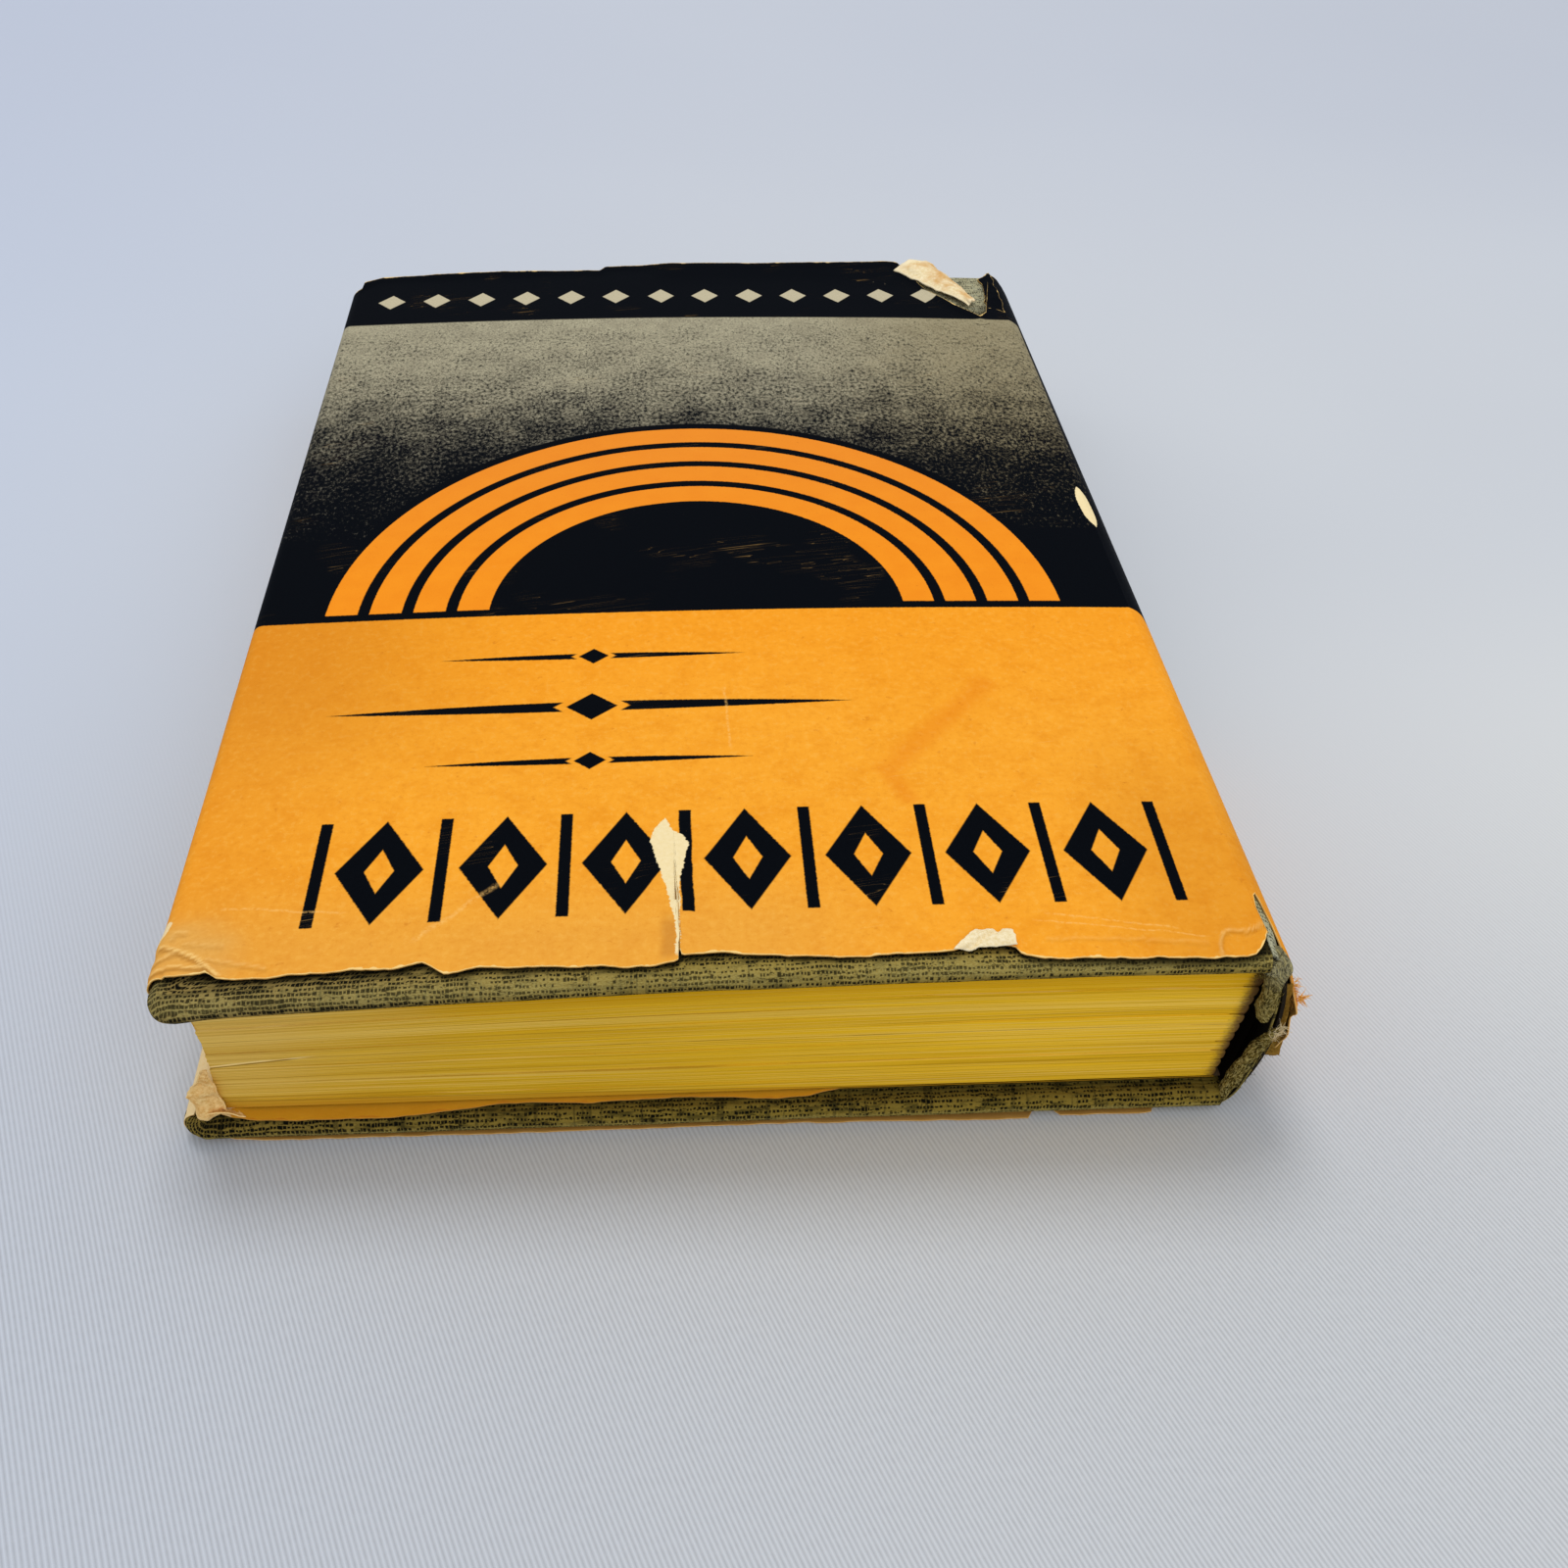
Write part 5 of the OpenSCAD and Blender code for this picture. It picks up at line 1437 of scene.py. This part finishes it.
def jacket_back_sheet():
    path, kind = back_course()
    depth, edge = spread(*back_ends(path, kind))
    y, part = depth - half_h, kind[:, None]
    on_flap, bent = part == 0, part == 1
    across = path[:, :1] + half_w + 0 * y
    lift = fade(edge, 0, 2.2) * 0.25 * np.maximum(rough(across, depth, 5, 107) + 0.3, 0) * on_flap
    facet, crease = crumple(across, depth, 109, 3.2)
    corner = fade(np.hypot(across - 1.0, depth - 3.0), 3, 9) * on_flap
    lift = lift + corner * 0.9 * facet
    margin = fade(across, 2.5, 6.5) * fade(depth, 16, 60) * on_flap
    facet, fold = crumple(across, depth, 113, 3.6)
    lift = lift + margin * (1 - corner) * 0.7 * facet
    outward = in_section(-left_of(path), 0 * y)
    grid = in_section(path, y) + outward * lift[..., None]
    grid[..., 2] += fade(edge, 0, 1.3) * 0.12 * (part == 2)
    crushed = fade(depth, 10, 46) * bent
    wear = 0.25 * bent + corner * (0.3 + 0.6 * fade(crease, 0.04, 0.3))
    wear = wear + crushed * (0.45 + 0.5 * fade(fold, 0.1, 0.6))
    wear = wear + margin * (0.75 + 0.4 * fade(fold, 0.1, 0.5))
    # Painted shade: the flap under the pages, deeper ochre near its head
    aged = fade(depth, 4, 16) * on_flap * (1 - margin)
    flat = np.stack([-run_along(path)[:, None] - 40 + 0 * y, depth, 0 * y], 2)
    marks = {"flat": flat, "edge": np.clip(edge, 0, 9), "wear": np.clip(wear, 0, 2), "aged": aged}
    return sheet_piece("jacket_back_sheet", grid, outward, paper_t, printed, marks)


jacket_back = jacket_back_sheet()
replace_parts(jacket_back, "jacket_back")
print("back sheet:", len(jacket_back.data.polygons), "faces")

# %% [markdown]
# ## Bare paper
# Torn places show fibres in place of print. One finish in four tints serves them all: the mesh's
# wear mark says how brown a place is, and its edge mark where the rim is pale. One tint,
# shaded_paper, is dark as painted shade.

# %% Bare paper
def bare_finish(name, low, high, spot):
    f = Finish(name, roughness=0.9, specular=0.04)
    where = f.place()
    fibre = f.noise(where, 2.2, 4.0, 0.7)
    slow = f.noise(where, 0.35, 3.0)
    tint, edge = f.mark("wear"), f.mark("edge")
    colour = f.mix(f.step(fibre, 0.30, 0.70), low, high)
    colour = f.mix(f.step(slow + tint - 0.5, 0.30, 0.75) * 0.85, colour, spot)
    colour = f.mix(f.step(edge + (fibre - 0.5) * 0.4, 0.30, 0.10) * 0.6, colour, high)
    return f.finish(colour, normal=f.bump(fibre, 0.06, 0.6))


bare = bare_finish("bare_fibres", paint(228, 204, 150), paint(248, 232, 194), paint(206, 146, 62))
orange_fibres = bare_finish("orange_fibres", paint(220, 138, 42), paint(250, 196, 106), paint(236, 156, 56))
crushed_paper = bare_finish("crushed_paper", paint(214, 166, 92), paint(246, 212, 146), paint(222, 150, 58))
# A dark copy of the bare paper, as painted shade for the spine's torn paper in the hollow
shaded = bare_finish("shaded_paper", paint(112, 82, 26), paint(150, 112, 44), paint(92, 62, 16))
print("bare papers:", [m.name for m in (bare, orange_fibres, crushed_paper, shaded)])

# %% [markdown]
# ## A helper for scraps
# Each scrap is a small curved grid with ragged sides. Its plan is drawn between four corners, in
# millimetres from the cover's fore-edge and head. Shares s and t run along its two sides.

# %% Helper for scraps
def shares(m, n):
    return np.meshgrid(np.linspace(0, 1, m), np.linspace(0, 1, n), indexing="ij")


def from_ends(count):
    """Points from the nearer end, for each point of a row."""
    return np.minimum(np.arange(count), count - 1 - np.arange(count))


def free_sheet(name, points, thickness, body, tint, material=None, towards=(0, -0.6, 0.8),
               rim_scale=5):
    """A torn scrap of paper from the x, y and z of its points."""
    grid = np.stack(points, 2)
    normal = grid_normals(grid)
    if (normal * np.array(towards)).sum() < 0:
        normal = -normal
    m, n = grid.shape[:2]
    rim = np.minimum(from_ends(m)[:, None] / m, from_ends(n)[None] / n) * rim_scale
    marks = {"wear": 0 * grid[..., 0] + tint, "edge": rim, "flat": grid * [1, 1, 0] + [half_w, half_h, 0]}
    piece = sheet_piece(name, grid, normal, thickness, material or bare, marks)
    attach(piece, body)
    return piece


def between(corners, m, n, seed, ragged=0.18):
    s, t = shares(m, n)
    a, b, c, d = [np.array(p, float) for p in corners]
    plan = (a * ((1 - s) * (1 - t))[..., None] + b * (s * (1 - t))[..., None]
            + c * (s * t)[..., None] + d * ((1 - s) * t)[..., None])
    x = plan[..., 0] + ragged * rough(t * 12, s * 3, 1.3, seed) - half_w
    y = plan[..., 1] + ragged * rough(s * 12, t * 3, 1.3, seed + 1) - half_h
    return s, t, x, y


def hump(share, start, length):
    """Part of a sine's arch, for paper that rises and comes down again."""
    return np.sin(pi * np.clip(start + share * length, 0, 1))


print("a hump at three places:", hump(np.array([0, 0.5, 1]), 0.1, 0.8).round(2))

# %% [markdown]
# ## Scraps on the front cover
# A chip is folded back near the head: it bridges the torn edge and casts a dark gap. The corner
# torn at the tail is a narrow roll of bare paper, beside what is left of the dark print.

# %% Scraps on the front
s, t, x, y = between([(97.0, 2.5), (104.9, 2.8), (104.7, 5.6), (100.3, 5.75)], 34, 18, 111)
z = bow(x, jacket_r) + 0.42 + 0.85 * hump(t, 0.12, 0.8) * (0.6 + 0.4 * s)
z = z + 0.12 * rough(s * 6, t * 6, 2, 113)
z = z - 0.45 * fade(np.abs(s - 0.22 - 0.42 * t), 0.0, 0.16)
chip = free_sheet("folded_chip", (x, y, z), 0.15, "front_cover", 0.05)
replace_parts(chip, "curled_chip")

s, t, x, y = between([(129.8, 186.2), (131.6, 188.6), (125.0, 206.8), (115.6, 202.6)], 26, 44, 117, 0.45)
z = bow(x, jacket_r) + 0.35 + 2.4 * hump(s, 0.10, 0.85) * (0.3 + 0.6 * t)
z = z + 0.45 * rough(s * 6, t * 12, 2, 119)
tail_corner = free_sheet("rolled_tail_corner", (x, y, z), 0.2, "front_cover", 0.30 + 0.3 * s)
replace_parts(tail_corner, "tail_curl")

s, t, x, y = between([(133.6, 186.0), (137.2, 184.0), (137.0, 203.5), (134.4, 200.5)], 12, 34, 123, 0.6)
z = bow(x, jacket_r) + 0.06 + 0.5 * s * fade(np.abs(t - 0.6), 0.2, 0.6) + 0.1 * rough(s * 5, t * 12, 2, 125)
remnant = free_sheet("tail_remnant", (x, y, z), 0.18, "front_cover", 0.0, printed,
                     rim_scale=14)
print("front scraps:", [p.name for p in (chip, tail_corner, remnant)])

# %% [markdown]
# ## Scraps on the back and the spine
# The back jacket's fold is crushed upward at the head of the fore-edge. The two outlines, seen
# from the head, are read upward. The torn end of the spine's paper is bent in behind the roll of
# cloth, in a dark copy of the bare paper that paints its shade.

# %% Scraps on the back and the spine
s, t = shares(44, 60)
facet, _ = crumple(s * 4.0, t * 9.0, 131, 2.4, 4)
left = [(0, -65.4, 4.4), (0.35, -66.1, 8.6), (0.6, -65.1, 10.2), (0.8, -64.3, 11.7), (1, -63.6, 13.0)]
right = [(0, -61.6, 3.9), (0.35, -62.3, 7.0), (0.6, -62.5, 9.2), (0.8, -62.7, 10.8), (1, -63.0, 12.6)]
(left_x, left_z), (right_x, right_z) = [
    [np.interp(t, [stop[0] for stop in side], [stop[k] for stop in side]) for k in (1, 2)]
    for side in (left, right)]
x = left_x * (1 - s) + right_x * s + 0.25 * rough(t * 12, s * 3, 1.5, 127)
z = left_z * (1 - s) + right_z * s + 0.30 * rough(s * 8, t * 8, 1.5, 129)
y = -99.3 - 2.0 * facet * (1 - 0.4 * t) + 0.5 * s
crumpled = free_sheet("crumpled_corner", (x, y, z), 0.15, "back_cover",
                      0.38 + 0.30 * rough(s * 6, t * 9, 2.5, 133), crushed_paper)

s, t, x, y = between([(2.4, 0.9), (8.0, 1.2), (7.0, 2.2), (3.2, 2.8)], 24, 14, 135, 0.15)
z = 4.2 + 1.2 * (1 - t) * hump(s, 0.15, 0.9) + 0.15 * rough(s * 5, t * 5, 1.5, 137)
fold_tip = free_sheet("corner_fold", (x, y, z), 0.15, "back_cover", 0.30, crushed_paper)

s, t = shares(26, 40)
x = 73.3 + 3.3 * s - 1.0 * t * s + 0.18 * rough(t * 12, s, 1.5, 139) - 0.8 * t
y = -98.6 - 0.9 * s * (1 - 0.5 * t) + 0.25 * rough(s * 6, t * 10, 2, 141)
z = 8.9 + 14.0 * t + 0.3 * rough(s * 8, t, 1.2, 143) * (t > 0.9)
inner_flap = free_sheet("spine_paper_flap", (x, y, z), 0.18, "pages", 0.2,
                        shaded, (0, -1, 0))
print("other scraps:", [p.name for p in (crumpled, fold_tip, inner_flap)])

# %% [markdown]
# ## Loose fibres
# Frayed cloth and torn paper end in hairs. Each hair is a thin tapered tube with a bend. Its root
# is one of a few given places, moved a little at random.

# %% Fibres
rings, corners = 5, 4


def hair(root, way, bend, reach, radius):
    """Points of one tube: a few rings of corners, thinner towards the tip."""
    side = np.cross(way, [0.3, 0.2, 0.9])
    side /= np.linalg.norm(side)
    other = np.cross(way, side)
    points = []
    for f in np.arange(rings) / (rings - 1):
        middle = root + way * reach * f + bend * reach * f * f * 0.5
        for a in np.arange(corners) * 2 * pi / corners:
            points.append(middle + radius * (1 - 0.75 * f) * (side * cos(a) + other * sin(a)))
    return points


def hairs(name, roots, lead, length, count, radius, material, seed, body, spread_mm=0.25):
    rng = np.random.default_rng(seed)
    points, faces = [], []
    for k in range(count):
        root = np.array(roots[k % len(roots)], float) + rng.normal(0, spread_mm, 3)
        way = np.array(lead, float) + rng.normal(0, 0.6, 3)
        way /= np.linalg.norm(way)
        bend = rng.normal(0, 0.6, 3)
        reach = length * rng.uniform(0.3, 1.0)
        start = len(points)
        points += hair(root, way, bend, reach, radius)
        for i in range(rings - 1):
            for j in range(corners):
                a, b = start + i * corners + j, start + i * corners + (j + 1) % corners
                faces.append([a, b, b + corners, a + corners])
    points = np.array(points)
    piece = build(name, points, faces, material,
                  {"wear": np.full(len(points), 0.1), "edge": np.full(len(points), 3.0), "flat": points})
    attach(piece, body)
    return piece


def roots_on(line, out, *which):
    """Places on a rolled cap, moved out towards the head."""
    return [(line[i, 0], line[i, 3] - out, line[i, 1]) for i in range(*which)]


fray = hairs("cloth_fray", roots_on(lower, 0.2, 0, 12, 2), (0.3, -0.5, 0.5), 1.1, 150, 0.045,
             bare, 131, "pages")
fuzz = hairs("cloth_fuzz", roots_on(upper, 0.8, 0, 46, 3) + roots_on(lower, 1.0, 8, 56, 3),
             (0.0, -0.7, -0.3), 0.8, 260, 0.035, khaki, 137, "pages", 0.5)
hem = [(68.0 + 0.35 * i, -100.9, 27.4 - 0.05 * i) for i in range(10)]
fringe = hairs("joint_fringe", hem, (0.1, -0.4, -0.7), 0.9, 90, 0.04, khaki, 149, "pages")
torn_side = [(76.2 - 0.1 * i, -98.8, 17.5 + 0.55 * i) for i in range(12)]
spike = hairs("paper_fibres", torn_side, (0.6, -0.5, 0.0), 0.8, 150, 0.05,
              orange_fibres, 133, "pages")
spike_roots = [(76.3, -99.2, 20.6), (76.2, -99.2, 20.2)]
long_spike = hairs("paper_spike", spike_roots, (0.95, -0.2, 0.25), 1.5, 16, 0.12,
                   orange_fibres, 151, "pages", 0.10)
print("fibres:", sum(len(p.data.polygons) for p in (fray, fuzz, fringe, spike, long_spike)), "faces")

# %% [markdown]
# ## Finishes for the solids that stay
# Boards, endpapers, linings and thread keep their exact solids. Each gets a quiet finish with
# its own grain, because a cover that opens shows them. The spine's card is painted near black as
# the shade of the hollow, and the endpapers turn a deeper ochre at the head.

# %% Plain finishes
def plain_finish(name, dark, light, size, rough_level, depth, ochre_share=0.0):
    f = Finish(name, roughness=rough_level, specular=0.1)
    where = f.place()
    at_head = f.step(f.axes(where)[1], -96.0, -98.4) * ochre_share
    broad, fine = f.noise(where, size * 0.1, 3.0), f.noise(where, size, 3.0, 0.6)
    colour = f.mix(broad * 0.6 + fine * 0.4, dark, light)
    colour = f.mix(at_head, colour, f.mix(fine, paint(150, 106, 14), paint(186, 138, 26)))
    return f.finish(colour, normal=f.bump(fine, depth, 0.5))


plain = {
    "board": plain_finish("greyboard", paint(128, 110, 84), paint(158, 140, 110), 1.2, 0.85, 0.08),
    "endpaper": plain_finish("endpaper", paint(214, 196, 152), paint(232, 216, 176), 0.9, 0.8, 0.03, 1.0),
    "mull": plain_finish("glued_gauze", paint(178, 160, 118), paint(214, 200, 160), 1.4, 0.8, 0.1),
    "lining": plain_finish("kraft_paper", paint(104, 78, 48), paint(134, 104, 68), 1.0, 0.75, 0.04),
    "thread": plain_finish("linen_thread", paint(206, 196, 168), paint(230, 222, 200), 3.0, 0.7, 0.05),
    # Painted shade: the spine's card near black, as the hollow's shade
    "inlay": plain_finish("spine_card_painted_dark", paint(24, 19, 13), paint(38, 30, 22), 1.1, 0.9, 0.05),
}
slots = {part["node"]: part["material_slot"] for part in frame["record"]["subparts"]}
for node, item in frame["nodes"].items():
    if not item.hide_render:
        item.data.materials.clear()
        item.data.materials.append(plain.get(slots[node], bare))
print("solids that stay:", sum(not o.hide_render for o in frame["nodes"].values()))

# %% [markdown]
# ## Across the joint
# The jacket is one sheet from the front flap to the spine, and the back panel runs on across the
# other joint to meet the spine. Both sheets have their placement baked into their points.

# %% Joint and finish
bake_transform(jacket)
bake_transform(jacket_back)
